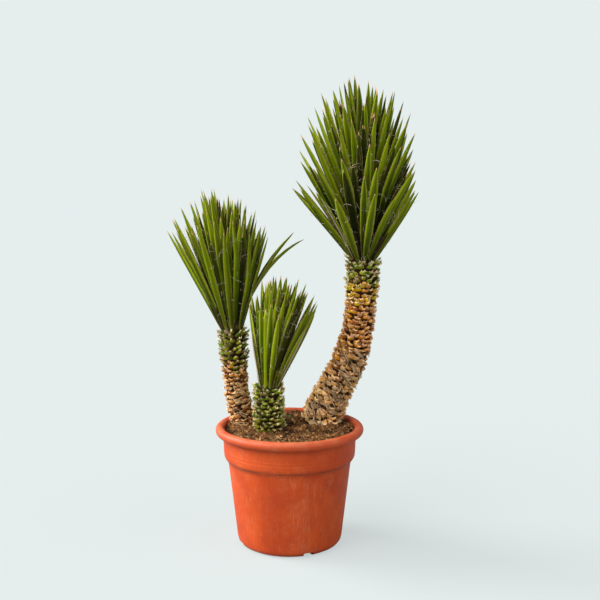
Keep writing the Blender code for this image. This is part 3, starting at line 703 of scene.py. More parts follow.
def leaf_base_surface(stem, along, angle, looks, draw):
    """Cut leaf bases. At t from 0 at its root to 1 at the cut, a base's middle lies at length * t on its
    lean, plus flare * length * t cubed outwards. With x from -1 to 1 across and h half the width, it is a
    plate, thick in the middle by one minus x to the fourth, and bent round the stem by wrap h x squared.
    What is raised falls short by the slant times its height times t squared, so that the cut looks up. The
    cut is uneven by torn."""
    count = len(along)
    lean, width, length, thick, lip, torn, flare, wrap, narrow, slant = (v[:, None, None] for v in looks)
    up, outward = stem.outward(along, angle)
    side = np.cross(outward, up)
    twist = 0.20 * draw.normal(size=count)[:, None]
    side, up = np.cos(twist) * side + np.sin(twist) * up, np.cos(twist) * up - np.sin(twist) * side
    ahead = (np.cos(lean) * up[:, None] + np.sin(lean) * outward[:, None])[:, :, None]
    over = (np.cos(lean) * outward[:, None] - np.sin(lean) * up[:, None])[:, :, None]
    root = stem.at(along) + (stem.radius(along) - BASE_SUNK)[:, None] * outward
    x, outside = np.array(BASE_ACROSS), np.array(BASE_OUTSIDE)
    t, inset = np.array(BASE_STOPS)[:, None], np.array(BASE_INSETS)[:, None]
    half = 0.5 * width * (1 - narrow * t**2)
    solid = outside * (0.5 + 0.5 * inset) + (1 - outside) * (0.5 - 0.5 * inset)
    level = thick * (1 + (lip - 1) * t) * (1 - x**4) * solid
    tears = draw.uniform(-1, 1, (2, count, 1, 7))[..., BASE_TEARS] * torn * length
    tears = tears * np.where(t > 0.85, 1.0, 0.0)
    raised = level - wrap * half * x**2 + flare * length * t**3 + 0.4 * tears[0]
    reach = length * t - slant * level * t**2 + tears[1]
    rings = (root[:, None, None] + (half * (0.9 + 0.1 * inset) * x)[..., None] * side[:, None, None]
             + raised[..., None] * over + reach[..., None] * ahead)
    middle = rings[:, -1].mean(axis=1) - 0.0006 * ahead[:, 0, 0]
    return blades(rings, middle[:, None], across=(0.5 + 0.5 * x, 0.5), along=(t, 1.0),
                  cut=(np.array(BASE_CUT_SHARES)[:, None], 1.0))


def shade_of(heights, bands, draw, sway):
    """A colour for each height: bands lists heights upwards, each with the four colours found from there
    on, and sway moves each reading up or down a little so that neighbouring bands mingle. Each is dimmed at
    random."""
    moved = heights + sway * draw.normal(size=len(heights))
    band = np.clip(np.searchsorted([height for height, _ in bands], moved) - 1, 0, len(bands) - 1)
    dimmed = 1.06 - 0.46 * draw.uniform(0, 1, (len(heights), 1)) ** 3
    return dimmed * np.array([colours for _, colours in bands])[band, draw.integers(0, 4, len(heights))]


def fibre_group():
    """Lines along a leaf or a leaf base: noise on its own across and along, drawn out lengthwise, a new
    pattern for each copy by its tone."""
    tree, (tone, lines) = new_group("leaf_fibres", Tone="Float", Lines="Float")
    across, along = flat_place(tree)
    spot = add(tree, "CombineXYZ", X=across * lines, Y=along * 1.6, Z=tone * 61.0)
    return masked(noise(Field(spot), 1.0, 4.0, 0.65))


def base_material(name):
    """Leaf bases: each in its own colour, striped lengthwise by its fibres, warmer and darker towards its
    root, partly its own colour and partly painted shade of the recess there, dried out at its lip and paler
    still on the cut."""
    made, tree = new_material(name, Specular_IOR_Level=0.12)
    across, along = flat_place(tree)
    tone, cut, fresh = marked(tree, "tone", "cut", "fresh")
    grain = noise(object_place(tree), 900.0, 3.0, 0.65)
    patch = noise(object_place(tree), 170.0, 4.0, 0.6)
    lines = Field(add(tree, "Group", {"node_tree": FIBRES}, Tone=tone, Lines=16.0))
    root = mixed(fresh, BASE_WARM, BASE_TAN)
    edge = along + (patch - 0.5) * 0.6
    dried = math_of("MAXIMUM", stepped(edge, 0.82, 0.96), stepped(cut, 0.20, 0.45))
    colour = layered(
        Field(add(tree, "Attribute", {"attribute_name": "shade"}), "Color"),
        (stepped(patch, 0.54, 0.72, 0.0, 0.25), root),
        (stepped(abs(across - 0.5), 0.36, 0.48, 0.0, 0.55), root),
        (stepped(lines, 0.50, 0.66, 0.0, 0.24), root),
        (dried * stepped(tone, 0.0, 1.0, 0.50, 1.0), mixed(fresh, LIP_DRY, LIP_FRESH)),
        # Towards the root: partly the base's own warmer colour, partly painted shade of the recess between
        # rows.
        (stepped(along, 0.30, 0.56, 0.80, 0.0), root),
        # Painted shade: near black deep in the recess at the root.
        (stepped(along, 0.24, 0.46, 0.97, 0.0), BASE_ROOT_PAINTED_SHADE),
        (stepped(cut, 0.70, 0.95) * stepped(tone, 0.60, 0.75, 0.0, 0.80), BASE_HOLLOW))
    return finished(made, colour, stepped(fresh, 0.0, 1.0, 0.90, 0.60), lines + grain * 0.8, 0.0008, 0.8)


def dress_with_core(node, stem, start, end, finish):
    """The core of one length of stem, which shows between the bases, near black as painted shade there: the
    stem's radius less a little, with lumps on it."""
    points, faces = tube(stem, start, end, max(8, int((end - start) / 0.0022)), 72, lambda along, turn: (
        stem.radius(along) - BARK_INSET
        + 0.0010 * lumps(np.cos(turn), np.sin(turn) + along * 90, 0.16, 61)))
    new_piece(node + "_core", points, faces, *finish, node, across=0.0, along=0.0, tone=0.0, cut=0.0,
              fresh=0.0, shade=np.tile(BARK_PAINTED_SHADE, (len(points), 1)))


def dress_with_bases(name, stem, start, end, finish, bands, fresh, bases, seed):
    """The bases of one length of stem. They follow a flat helix that rises by the first pitch in each turn.
    One turn holds a whole number and a half of them, near the second pitch from each other, so each stands
    over a gap. finish is a material and its slot, and between the two heights of fresh the bases turn from
    dry to green."""
    draw = np.random.default_rng(seed)
    (rise, spacing), *rows = bases
    pairs = np.array(rows).T
    pairs[0] = np.radians(pairs[0])
    girth = 2 * math.pi * float(stem.radius(np.linspace(start, end, 9)).mean())
    around = int(girth / spacing) + 0.5
    count = int((end - start) / rise * around)
    share = (np.arange(count) + 0.5) / count
    along = start + (end - start) * share + 0.27 * rise * draw.uniform(-1, 1, count)
    angle = 2 * math.pi * (np.arange(count) + 0.20 * draw.normal(size=count)) / around
    looks = [np.interp(share, (0, 1), pair) * (1 + 0.20 * draw.uniform(-1, 1, count)) for pair in pairs]
    points, faces, size, marks = leaf_base_surface(stem, along, angle, looks, draw)
    height = stem.at(along)[:, 2] + stem.outward(along, angle)[1][:, 2] * stem.radius(along)
    green = np.clip((height + FRESH_SWAY * draw.normal(size=count) - fresh[0]) / (fresh[1] - fresh[0]), 0, 1)
    marks |= {"tone": np.repeat(draw.uniform(0, 1, count), size), "fresh": np.repeat(green, size),
              "shade": np.repeat(shade_of(height, bands, draw, BAND_SWAY), size, axis=0)}
    new_piece(name, points, faces, *finish, sharp=42, **marks)


def dress_with_shreds(node, stem, start, end, count, facing, finish, seed):
    """Fibres of rotted leaves that lie over the bases: each runs from its place on the stem along a slant,
    at the stem's radius plus a clearance, and about one in seventeen stands off at its far end, by a rise
    that grows as t squared. The lowest are painted darkest, as shade under those lying over them."""
    draw = np.random.default_rng(seed)
    t = np.linspace(0, 1, 7)
    length = draw.uniform(*SHRED_LENGTHS, count)[:, None]
    slant = draw.choice(SHRED_SLANTS, count, p=SHRED_SLANT_ODDS)
    slant = np.radians(slant + draw.normal(0, 8, count))
    first = draw.uniform(start, end, count)[:, None]
    place = math.radians(facing) + draw.normal(0, 0.42, count)[:, None]
    wave = t * draw.uniform(0.5, 1.5, (count, 1)) + draw.uniform(0, 1, (count, 1))
    wave = 0.0006 * np.sin(2 * math.pi * wave)
    along = np.clip(first - np.cos(slant)[:, None] * length * (t - 0.5) + wave, start, end)
    loose = draw.choice((0.0, 0.005), (count, 1), p=(0.94, 0.06))
    top = draw.uniform(0, 1, (count, 1))
    radius = stem.radius(along) + 0.0080 + 0.0036 * top + 0.0008 * np.sin(math.pi * t) + loose * t**2
    angle = place + np.sin(slant)[:, None] * length * (t - 0.5) / radius
    outward = stem.outward(along, angle)[1]
    wide = 0.0007 + 0.0011 * draw.uniform(0, 1, count)
    line = stem.at(along) + radius[..., None] * outward
    points, faces, size = strand_surface(line, wide, 0.4 * wide, outward)
    # Painted shade: the lower a shred lies, the darker its colour.
    shade = np.array(FIBRE)[np.minimum(3, top[:, 0] * 4).astype(int)]
    new_piece(node + "_shreds", points, faces, *finish, across=0.5, along=0.6, cut=0.0, fresh=0.0,
              tone=np.repeat(draw.uniform(0, 1, count), size), shade=np.repeat(shade, size, axis=0))


FIBRES = fibre_group()
TALL = Stem(TALL_LINE, TALL_RADII, TALL_JOINTS)
LEFT = Stem(LEFT_LINE, LEFT_RADII, LEFT_JOINTS)
SHORT = Stem(SHORT_LINE, SHORT_RADII, SHORT_JOINTS)
DRY_BASES = (base_material("dry_husks"), "dry_leaf_bases")
GREEN_BASES = (base_material("green_husks"), "green_leaf_bases")

TALL_BANDS = ((0.0, STRAW), (0.352, BROWN), (0.400, RUST), (0.440, BROWN), (0.470, RUST),
              (0.508, YELLOW), (0.544, GREEN), (0.600, SHEATH))
LEFT_BANDS = ((0.0, COPPER), (0.295, STRAW), (0.325, COPPER), (0.366, RUST), (0.380, GREEN),
              (0.443, SHEATH))
SHORT_BANDS = ((0.0, FRESH), (0.333, SHEATH))

# Cut leaf bases: their pitch, which is the rise in a turn and the spacing round the stem, then at the lower
# and at the upper end their lean, width, length, thick, lip, torn, flare, wrap, narrow and slant.
KNOBS = ((0.0108, 0.0130), (23, 0.0188, 0.0152, 0.0052, 0.85, 0.15, 0.20, 0.24, 0.26, 0.62),
         (23, 0.0184, 0.0146, 0.0042, 0.70, 0.17, 0.24, 0.26, 0.28, 0.60))
LEDGES = ((0.0100, 0.0116), (24, 0.0168, 0.0136, 0.0038, 0.70, 0.18, 0.28, 0.26, 0.26, 0.60),
          (24, 0.0168, 0.0136, 0.0034, 0.65, 0.20, 0.30, 0.26, 0.30, 0.60))
LEFT_LEDGES = ((0.0090, 0.0108), (24, 0.0158, 0.0126, 0.0038, 0.70, 0.18, 0.28, 0.26, 0.28, 0.60),
               (25, 0.0160, 0.0126, 0.0034, 0.65, 0.19, 0.30, 0.26, 0.30, 0.60))
TALL_STUBS = ((0.0096, 0.0120), (25, 0.0168, 0.0146, 0.0032, 0.62, 0.18, 0.32, 0.28, 0.44, 0.55),
              (23, 0.0164, 0.0168, 0.0026, 0.56, 0.24, 0.28, 0.28, 0.66, 0.60))
GREEN_STUBS = ((0.0092, 0.0112), (26, 0.0150, 0.0146, 0.0032, 0.60, 0.16, 0.34, 0.30, 0.70, 0.50),
               (25, 0.0144, 0.0168, 0.0028, 0.56, 0.22, 0.28, 0.30, 0.78, 0.50))
SHORT_STUBS = ((0.0088, 0.0108), (29, 0.0144, 0.0142, 0.0032, 0.60, 0.22, 0.38, 0.28, 0.66, 0.50),
               (27, 0.0140, 0.0164, 0.0028, 0.56, 0.26, 0.30, 0.28, 0.76, 0.50))
FOOT = 0.240
dress_with_core("tall_stem", TALL, 0.0, TALL.joints[0], DRY_BASES)
dress_with_bases("tall_stem_knobs", TALL, TALL.where(FOOT), TALL.where(0.412), DRY_BASES, TALL_BANDS,
                 (0.50, 0.58), KNOBS, 5)
dress_with_bases("tall_stem_ledges", TALL, TALL.where(0.408), TALL.joints[0], DRY_BASES, TALL_BANDS,
                 (0.50, 0.58), LEDGES, 8)
dress_with_core("tall_collar", TALL, *TALL.joints, GREEN_BASES)
dress_with_bases("tall_collar_stubs", TALL, TALL.joints[0] - 0.003, TALL.joints[1] + 0.001, GREEN_BASES,
                 TALL_BANDS, (0.50, 0.58), TALL_STUBS, 15)
dress_with_core("left_stem", LEFT, 0.0, LEFT.joints[0], DRY_BASES)
dress_with_bases("left_stem_ledges", LEFT, LEFT.where(FOOT), LEFT.joints[0], DRY_BASES, LEFT_BANDS,
                 (0.36, 0.42), LEFT_LEDGES, 6)
dress_with_core("left_collar", LEFT, *LEFT.joints, GREEN_BASES)
dress_with_bases("left_collar_stubs", LEFT, LEFT.joints[0] - 0.003, LEFT.joints[1] - 0.002, GREEN_BASES,
                 LEFT_BANDS, (0.35, 0.40), GREEN_STUBS, 16)
dress_with_core("short_collar", SHORT, 0.0, SHORT.joints[0], GREEN_BASES)
dress_with_bases("short_collar_stubs", SHORT, SHORT.where(FOOT), SHORT.joints[0], GREEN_BASES, SHORT_BANDS,
                 (0.20, 0.28), SHORT_STUBS, 7)
dress_with_shreds("tall_stem", TALL, TALL.where(0.29), TALL.where(0.42), 96, -78, DRY_BASES, 25)
dress_with_shreds("tall_foot", TALL, TALL.where(0.250), TALL.where(0.300), 30, -112, DRY_BASES, 27)
dress_with_shreds("left_stem", LEFT, LEFT.where(0.25), LEFT.where(0.36), 22, -80, DRY_BASES, 26)


# The heads of leaves
# Each stem ends in a head of stiff, channelled leaves with a tan spine, the oldest lowest and leaning out.
# Their edges split off curly white threads, and a few old leaves are grey or dead.

GOLDEN_ANGLE = math.radians(137.508)
LEAF_FOLD = 0.34
LEAF_KEEL = (0.50, 0.74)
LEAF_KEEL_HALF = 0.34
LEAF_STOPS = (0.0, 0.06, 0.15, 0.28, 0.42, 0.56, 0.68, 0.78, 0.86, 0.92, 0.965)
LEAF_ACROSS = (-1.0, 0.0, 1.0, 0.74, 0.34, 0.0, -0.34, -0.74)
LEAF_BELOW = (0, 0, 0, 1, 1, 1, 1, 1)
LEAF_CLEARANCE = 0.002
LEAF_ROOT_RISE = 0.004
LEAF_ROOT_DEPTH = 0.90
LEAF_SWAY = 0.022
LEAF_TWIST = 0.45
LOWEST_RING = 8
LEAF_SHORTER = 0.997
PARTING_POINT = (-0.081, 0.0145, 0.0)
PARTING_TO_SHORT = (0.755, -0.656, 0.0)
THREAD_STEPS = 12
THREAD_LENGTHS = (0.010, 0.036)
THREAD_TURNS = (1.0, 6.0)
THREAD_RADIUS = 0.00022
LEAF_DARK = (0.0085, 0.0135, 0.001)
LEAF_GREEN = (0.064, 0.115, 0.0012)
LEAF_LIME = (0.325, 0.418, 0.0035)
LEAF_EDGES = ((0.370, 0.290, 0.145), (0.160, 0.075, 0.030))
LEAF_ROOT = (0.350, 0.290, 0.090)
LEAF_SPINE = (0.600, 0.355, 0.165)
LEAF_GREY = (0.460, 0.360, 0.275)
LEAF_DEAD = ((0.014, 0.009, 0.0035), (0.115, 0.065, 0.026))
THREAD_WHITE = (0.600, 0.560, 0.430)


def leaf_shares(t):
    """The share of the full width at t along a leaf: it grows as a quarter sine up to the middle and falls
    off towards the tip as one minus a power."""
    grown = 0.44 + 0.56 * np.sin(np.minimum(1.0, t / 0.5) * math.pi / 2)
    return grown * (1 - np.clip((t - 0.45) / 0.55, 0, 1) ** 3.2)


def leaf_surface(base, up, outward, lean, length, width, bend, sway, twist, parted=0):
    """Channelled blades. The middle line leaves base at a lean from up, turns outwards by bend over its
    length and drifts sideways by sway. With x from -1 to 1 across and h half the width, the upper side
    stands fold h x^2 above the middle line. The lower side lies keel h deeper, a little deeper still in its
    middle, and comes up to the edges in a straight slope. The section turns by twist along the blade. With
    parted, what would pass the plane between two heads is moved back to it."""
    t = np.array((*LEAF_STOPS, 1.0))
    side = np.cross(outward, up)
    middle = (t[1:] + t[:-1]) / 2
    tilt = lean[:, None] + bend[:, None] * middle**1.5
    step = np.cos(tilt)[..., None] * up[:, None] + np.sin(tilt)[..., None] * outward[:, None]
    step = step * (length[:, None] * np.diff(t))[..., None]
    line = base[:, None] + np.concatenate([0 * step[:, :1], np.cumsum(step, axis=1)], axis=1)
    line = line + (sway * length)[:, None, None] * (t**2)[:, None] * side[:, None]
    if parted:
        away = np.array(PARTING_TO_SHORT) * parted
        room = (line - np.array(PARTING_POINT)) @ away - width[:, None] / 2 - LEAF_CLEARANCE
        line[:, 1:] -= (np.minimum(0.0, room)[..., None] * away)[:, 1:]
    tilt = (lean[:, None] + bend[:, None] * t**1.5)[..., None]
    above = np.sin(tilt) * up[:, None] - np.cos(tilt) * outward[:, None]
    roll = (twist[:, None] * (t - 0.2))[..., None]
    flank = np.cos(roll) * side[:, None] + np.sin(roll) * above
    above = np.cos(roll) * above - np.sin(roll) * side[:, None]
    half = (0.5 * width[:, None] * leaf_shares(t))[:, :-1, None]
    keel = np.interp(t[:-1], (0, 1), LEAF_KEEL)[:, None]
    x, below = np.array(LEAF_ACROSS), np.array(LEAF_BELOW)
    slope = np.clip((1 - np.abs(x)) / (1 - LEAF_KEEL_HALF), 0, 1)
    slope = slope - 0.12 * (x / LEAF_KEEL_HALF) ** 2 * (np.abs(x) <= LEAF_KEEL_HALF)
    raised = half * (LEAF_FOLD * x**2 - keel * below * slope)
    rings = (line[:, :-1, None] + (half * x)[..., None] * flank[:, :-1, None]
             + raised[..., None] * above[:, :-1, None])
    return rings, *blades(rings, line[:, -1:], across=(x * 0.5 + 0.5, 0.5), along=(t[:-1, None], 1.0),
                          under=(below, 0.5))


def thread_surface(rings, number, draw):
    """Curly threads. Each leaves a leaf's edge outwards and turns in an arc: at t from 0 to 1 it has gone
    (sin, 1 - cos) of t * turned, times length / turned, and drifted a little out of that plane."""
    leaf = draw.integers(0, len(rings), number)
    row = draw.integers(1, len(LEAF_STOPS) - 3, number)
    edge = draw.choice((0, 2), number)
    here, after, middle = rings[leaf, row, edge], rings[leaf, row + 1, edge], rings[leaf, row, 1]
    root = here + draw.uniform(0, 1, (number, 1)) * (after - here)
    heading = unit(unit(here - middle) + 1.4 * draw.uniform(-1, 1, (number, 1)) * unit(after - here)
                   + 0.35 * draw.normal(size=(number, 3)))
    bow = unit(np.cross(heading, draw.normal(size=(number, 3))))
    turned = draw.uniform(*THREAD_TURNS, number)[:, None, None]
    length = draw.uniform(*THREAD_LENGTHS, number)[:, None, None]
    t = np.linspace(0, 1, THREAD_STEPS)[:, None]
    line = root[:, None] + length / turned * (np.sin(turned * t) * heading[:, None]
                                              + (1 - np.cos(turned * t)) * bow[:, None])
    line = line + 0.35 * length * t**2 * np.cross(heading, bow)[:, None]
    thin = draw.uniform(0.8, 1.4, number) * THREAD_RADIUS
    return strand_surface(line, thin, thin, np.cross(heading, bow)[:, None])


def leaf_material():
    """Leathery leaves: parallel veins, thin dry edges, a yellowish root and a tan spine. Each leaf has its
    own green; old ones are grey down the middle of the underside, and dead ones brown. Painted shade darkens
    each leaf towards its root, and the inner leaves and the heart, which have a low tone."""
    made, tree = new_material("leaf", Specular_IOR_Level=0.08)
    place = object_place(tree)
    across, along = flat_place(tree)
    tone, worn, under, lime, dead = marked(tree, "tone", "worn", "under", "lime", "dead")
    off = abs(across - 0.5)
    faint = lime * -0.8 + 1.0
    cloud = noise(place, 60.0, 4.0, 0.6)
    veins = Field(add(tree, "Group", {"node_tree": FIBRES}, Tone=tone, Lines=24.0))
    dust = Field(add(tree, "Group", {"node_tree": DUST}, Vector=place, Scale=40.0, Amount=0.10))
    edge = mixed(stepped(noise(place, 300.0, 2.0), 0.48, 0.56), *LEAF_EDGES)
    colour = layered(
        mixed(stepped(tone * 0.55 + cloud * 0.7, 0.25, 0.90), LEAF_DARK, LEAF_GREEN),
        (lime, LEAF_LIME),
        (stepped(veins, 0.52, 0.72, 0.0, 0.55), LEAF_LIME),
        (stepped(veins, 0.28, 0.50, 0.85, 0.0) * faint, LEAF_DARK),
        (stepped(off, 0.24, 0.42, 0.0, 0.80), LEAF_LIME),
        (stepped(along, 0.55, 0.95, 0.0, 0.20), LEAF_LIME),
        # Low tone darkens: at random among the outer leaves, and as painted shade on the inner leaves and
        # the heart.
        (stepped(tone, 0.02, 0.34, 0.86, 0.0), LEAF_DARK),
        # Painted shade: darker towards each leaf's root, deep in the head.
        (stepped(along, 0.08, 0.60, 0.58, 0.0) * faint, LEAF_DARK),
        (stepped(along, 0.01, 0.08, 0.45, 0.0), LEAF_ROOT),
        (stepped(off, 0.14, 0.26, 1.0, 0.0) * (worn * under), LEAF_GREY),
        (stepped(off, 0.425, 0.475) * stepped(cloud, 0.30, 0.50), edge),
        (stepped(along + (cloud - 0.5) * 0.10, 0.958, 0.980), LEAF_SPINE),
        (dead, mixed(stepped(veins, 0.40, 0.70), *LEAF_DEAD)),
        (dust, LEAF_ROOT))
    relief = veins + noise(place, 900.0, 2.0) * 0.15
    return finished(made, colour, cloud * 0.20 + 0.34 + dust * 0.5, relief, 0.0006, 0.6)


def thread_material():
    """Dry white leaf threads, a little dusty."""
    made, tree = new_material("leaf_threads", Specular_IOR_Level=0.2)
    patch = noise(object_place(tree), 220.0, 3.0)
    colour = mixed(stepped(patch, 0.40, 0.70, 0.0, 0.6), THREAD_WHITE, LEAF_GREY)
    return finished(made, colour, stepped(patch, 0.2, 0.8, 0.75, 0.95), patch, 0.0002, 0.4)


def leaf_rules(count, inner_count, seed, leans, lengths, full_width, fuller, withered, odd):
    """One row for each leaf: share, angle, lean, length, width, bend, lime, worn and dead. First the leaves
    that the outline is made of, then inner ones between them, then thin dead ones low down, then the odd
    ones. Leans and lengths are read from the lowest leaf to the top. fuller is the side where the leaves
    lean out more and are longer, and both shares."""
    draw = np.random.default_rng(seed)
    k = np.arange(count)
    share = np.maximum(0.0, (k + 0.5 - LOWEST_RING) / (count - LOWEST_RING))
    jitter = draw.uniform(-1, 1, (count, 5))
    knots = np.linspace(0, 1, len(leans))
    angle = k * GOLDEN_ANGLE + 0.10 * jitter[:, 0]
    lean = np.radians(np.interp(share, knots, leans) + 2.6 * jitter[:, 1])
    towards = np.cos(angle - math.radians(fuller[0]))
    lean = lean * (1 + fuller[1] * towards)
    length = np.interp(share, knots, lengths) * (1 + 0.06 * jitter[:, 2] - fuller[2] * (1 - towards))
    young = 0.87 + 0.14 * np.sin(math.pi * np.minimum(1.0, share + 0.3))
    width = full_width * (1 + 0.16 * jitter[:, 3]) * young
    lime = 0.45 * draw.uniform(0, 1, count) ** 2
    none = 0 * share
    bend = np.radians(3.0 * (1 + jitter[:, 4]))
    rules = np.stack([share, angle, lean, length, width, bend, lime, none, none], -1)
    inner = rules[draw.integers(LOWEST_RING, count, inner_count)]
    inner = inner * (1, 1, 0.88, 0.92, 0.90, 1, 1, 0, 0)
    inner[:, :5] += draw.uniform(-1, 1, (inner_count, 5)) * (0.04, 0.5, 0.03, 0.014, 0.0012)
    dead = rules[draw.integers(0, count // 2, withered)]
    dead = dead * (0.6, 1, 0.9, 0.42, 0.42, 1, 0, 0, 0) + (0, 0, 0, 0, 0, 0, 0, 0, 1)
    dead[:, 1] += draw.uniform(-0.5, 0.5, withered)
    dead[:, 3] *= draw.uniform(0.6, 1.2, withered)
    odd = np.array(odd).reshape(-1, 9) * (1, *np.radians((1, 1)), 1, 1, math.radians(1), 1, 1, 1)
    rules = np.vstack([rules, inner, dead, odd])
    rules[:, 0] = np.clip(rules[:, 0], 0, 1)
    return rules


def head_of_leaves(name, stem, core_length, core_radii, parted, threads, count, inner_count, seed, **rules):
    """The tapered tip of a stem as a tube, all leaves of the head as one surface, and its threads."""
    start = stem.joints[-1]
    ends = (start, start + core_length)
    leaves = leaf_rules(count, inner_count, seed, **rules)
    share, angle, lean, length, width, bend, lime, worn, dead = leaves.T
    along = start + LEAF_ROOT_RISE + share * (core_length - LEAF_ROOT_RISE)
    up, outward = stem.outward(along, angle)
    base = stem.at(along) + (LEAF_ROOT_DEPTH * np.interp(along, ends, core_radii))[:, None] * outward
    draw = np.random.default_rng(seed + 1)
    sway = draw.uniform(-LEAF_SWAY, LEAF_SWAY, len(share))
    twist = draw.uniform(-LEAF_TWIST, LEAF_TWIST, len(share))
    rings, points, faces, size, marks = leaf_surface(
        base, up, outward, lean, length * LEAF_SHORTER, width, bend, sway, twist, parted)
    tone = draw.uniform(0.15, 1, len(share))
    # Painted shade: the inner leaves get a very low tone, which makes them dark.
    tone[count:count + inner_count] *= 0.08
    for key, values in (("tone", tone), ("lime", lime), ("worn", worn), ("dead", dead)):
        marks[key] = np.repeat(values, size)
    new_piece(name + "_blades", points, faces, LEAF, "leaf", name + "_leaves", sharp=36, **marks)
    heart = tube(stem, *ends, 24, 20, lambda along, turn: np.interp(along, ends, core_radii))
    # The heart gets tone 0: painted shade, near black deep in the head.
    new_piece(name + "_heart", *heart, LEAF, "leaf", across=0.5, along=0.2, tone=0.0, worn=0.0, under=0.0,
              lime=0.0, dead=0.0)
    threads, thread_faces, _ = thread_surface(rings[:count + inner_count], threads, draw)
    new_piece(name + "_threads", threads, thread_faces, THREADS, "leaf")


LEAF = leaf_material()
THREADS = thread_material()

# An odd leaf: its share of the head's height, angle, lean, length, width, bend, lime, worn and dead.
TALL_ODD = ((0.01, 186, 37, 0.203, 0.0210, 10, 0.0, 0, 0), (0.0, 196, 36, 0.150, 0.0080, 10, 0.3, 0, 1),
            (0.02, 214, 31, 0.165, 0.0100, 6, 0.1, 1, 0), (0.06, 199, 33, 0.190, 0.0090, 5, 0.2, 1, 0))
LEFT_ODD = ((0.20, 23, 26, 0.250, 0.0160, 28, 0.2, 0, 0), (0.20, 29, 27, 0.262, 0.0150, 46, 0.4, 0, 0),
            (0.80, -60, 5, 0.215, 0.0080, 2, 0.0, 0, 1), (0.10, 176, 22.5, 0.238, 0.0150, 4, 0.3, 0, 0),
            (0.16, 200, 23, 0.236, 0.0140, 4, 0.1, 0, 0), (0.26, 164, 21.5, 0.244, 0.0145, 4, 0.2, 0, 0),
            (0.30, 190, 21, 0.250, 0.0150, 3, 0.1, 0, 0))
SHORT_ODD = ((0.02, -112, 9, 0.185, 0.0200, 3, 1.0, 0, 0), (0.0, -150, 13, 0.130, 0.0130, 3, 0.1, 1, 0),
             (0.0, -35, 22, 0.165, 0.0125, 2, 0.1, 1, 0), (0.20, -96, 8, 0.196, 0.0150, 3, 0.8, 0, 0),
             (0.40, -58, 10, 0.198, 0.0130, 3, 0.6, 0, 0), (0.30, -128, 8, 0.200, 0.0130, 3, 0.6, 0, 0))
head_of_leaves("tall", TALL, 0.150, (0.0275, 0.0085), 0, 1400, 104, 70, 11, leans=(35, 29, 23, 17, 10, 3),
               lengths=(0.190, 0.238, 0.262, 0.267, 0.258, 0.240), full_width=0.0182,
               fuller=(180, 0.13, 0.045), withered=34, odd=TALL_ODD)
head_of_leaves("left", LEFT, 0.075, (0.0245, 0.0085), -1, 900, 78, 60, 23, leans=(19.5, 19, 15, 11, 7, 2),
               lengths=(0.254, 0.244, 0.256, 0.262, 0.254, 0.240), full_width=0.0150,
               fuller=(180, 0.09, 0.055), withered=26, odd=LEFT_ODD)
head_of_leaves("short", SHORT, 0.048, (0.0235, 0.0080), 1, 600, 54, 40, 37, leans=(14, 13, 11, 9, 6, 2),
               lengths=(0.188, 0.200, 0.208, 0.208, 0.204, 0.198), full_width=0.0142,
               fuller=(0, 0.40, 0), withered=24, odd=SHORT_ODD)


# The fallen scrap
# A green end of a leaf that broke off and lies curled on the soil behind the short stem.

SCRAP_PLACE = (0.0014, 0.0786)
SCRAP_TURN = math.radians(-14)
SCRAP_LENGTH = 0.018
SCRAP_WIDTH = 0.0075
SCRAP_GREEN = (0.060, 0.250, 0.055)
SCRAP_PALE = (0.300, 0.480, 0.180)


def scrap_material():
    """A fresh green blade end, paler along its veins and browned where it broke off."""
    made, tree = new_material("green_scrap", Specular_IOR_Level=0.3)
    veins = Field(add(tree, "Group", {"node_tree": FIBRES}, Tone=0.3, Lines=12.0))
    colour = layered(mixed(stepped(veins, 0.40, 0.70), SCRAP_GREEN, SCRAP_PALE),
                     (stepped(flat_place(tree)[1], 0.02, 0.16, 0.9, 0.0), LEAF_EDGES[1]))
    return finished(made, colour, stepped(veins, 0.2, 0.8, 0.45, 0.65), veins, 0.0004, 0.6)


scrap_way = np.array([(math.cos(SCRAP_TURN), math.sin(SCRAP_TURN), 0.0)])
scrap_middle = np.array([(*SCRAP_PLACE, soil_top(*np.array(SCRAP_PLACE)[:, None])[0] + 0.0022)])
_, scrap_points, scrap_faces, _, scrap_marks = leaf_surface(
    scrap_middle - SCRAP_LENGTH / 2 * scrap_way, scrap_way, np.array([(0.0, 0.0, -1.0)]), np.zeros(1),
    np.array([SCRAP_LENGTH]), np.array([SCRAP_WIDTH]), np.array([-0.35]), np.zeros(1), np.array([0.5]))
new_piece("scrap_blade", scrap_points, scrap_faces, scrap_material(), "leaf_scrap", "leaf_scrap", sharp=60,
          across=scrap_marks["across"], along=scrap_marks["along"])


# The studio
# A plain pale floor without end, soft light from the left and a weak fill from the right, a pale sky all
# round, and the camera where the photograph was taken from.

CAMERA_PLACE = (0.02255, -1.881, 0.743)
CAMERA_TILT = 83.5
CAMERA_SENSOR = 36.0
CAMERA_LENS = 36.0 * 886.7 / 600
CAMERA_REACH = 200.0
FLOOR_REACH = 40.0
PALE_GROUND = (0.783, 0.855, 0.847)
DIM_GROUND = (0.26, 0.27, 0.26)
SKY_COLOUR = (0.93, 0.98, 1.0)
SKY_STRENGTH = 0.37
LIGHTS = (("window_light", 4.6, 34.0, (-0.96, 0.27, 0.56), (1.0, 0.985, 0.94)),
          ("wide_screen", 3.2, 54.0, (-0.79, -0.62, 0.88), (1.0, 0.95, 0.88)),
          ("far_wall", 0.84, 60.0, (0.90, -0.40, 0.60), (1.0, 0.94, 0.87)))
SELF_LIT = 0.65

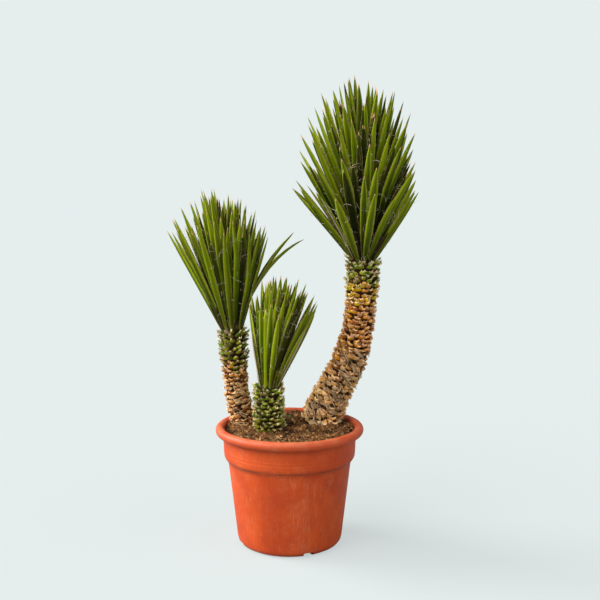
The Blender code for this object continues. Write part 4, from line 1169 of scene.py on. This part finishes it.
floor_light = SKY_STRENGTH * np.array(SKY_COLOUR)
for light_name, strength, size, light_from, tint in LIGHTS:
    light_from = unit(np.array(light_from))
    floor_light = floor_light + strength * light_from[2] / math.pi * np.array(tint)
    light = bpy.data.objects.new(light_name, bpy.data.lights.new(light_name, "SUN"))
    light.data.energy = strength
    light.data.color = tint
    light.data.angle = math.radians(size)
    turn = math.atan2(light_from[1], light_from[0]) + math.pi / 2
    light.rotation_euler = (math.acos(light_from[2]), 0, turn)
    bpy.context.scene.collection.objects.link(light)

lit_ground = (1 - SELF_LIT) * np.array(PALE_GROUND) / floor_light
floor_material, floor_tree = new_material("studio_floor", Roughness=1.0, Specular_IOR_Level=0.0,
                                          Emission_Color=(*PALE_GROUND, 1.0))
straight = Field(floor_tree.nodes.new("ShaderNodeLightPath"), "Is Camera Ray")
for key, value in (("Base Color", mixed(straight, DIM_GROUND, lit_ground)),
                   ("Emission Strength", straight * SELF_LIT)):
    feed(floor_tree.nodes["Principled BSDF"].inputs[key], value)
floor_mesh = bpy.data.meshes.new("studio_floor")
corners = [(x * FLOOR_REACH, y * FLOOR_REACH, 0) for x, y in ((-1, -1), (1, -1), (1, 1), (-1, 1))]
floor_mesh.from_pydata(corners, [], [(0, 1, 2, 3)])
floor_mesh.materials.append(floor_material)
floor = bpy.data.objects.new("studio_floor", floor_mesh)
bpy.context.scene.collection.objects.link(floor)

world = bpy.data.worlds.new("pale_room")
world.use_nodes = True
room = world.node_tree
room.nodes.clear()
seen = Field(add(room, "Background", Color=PALE_GROUND, Strength=1.0))
lit = Field(add(room, "Background", Color=SKY_COLOUR, Strength=SKY_STRENGTH))
straight = Field(room.nodes.new("ShaderNodeLightPath"), "Is Camera Ray")
which = add(room, "MixShader", Fac=straight)
feed(which.inputs[1], lit)
feed(which.inputs[2], seen)
feed(room.nodes.new("ShaderNodeOutputWorld").inputs["Surface"], Field(which))
bpy.context.scene.world = world

camera = bpy.data.objects.new("camera", bpy.data.cameras.new("camera"))
camera.data.sensor_width = CAMERA_SENSOR
camera.data.lens = CAMERA_LENS
camera.data.clip_end = CAMERA_REACH
camera.location = CAMERA_PLACE
camera.rotation_euler = (math.radians(CAMERA_TILT), 0, 0)
bpy.context.scene.collection.objects.link(camera)
bpy.context.scene.camera = camera
bpy.context.scene.view_settings.view_transform = "Standard"
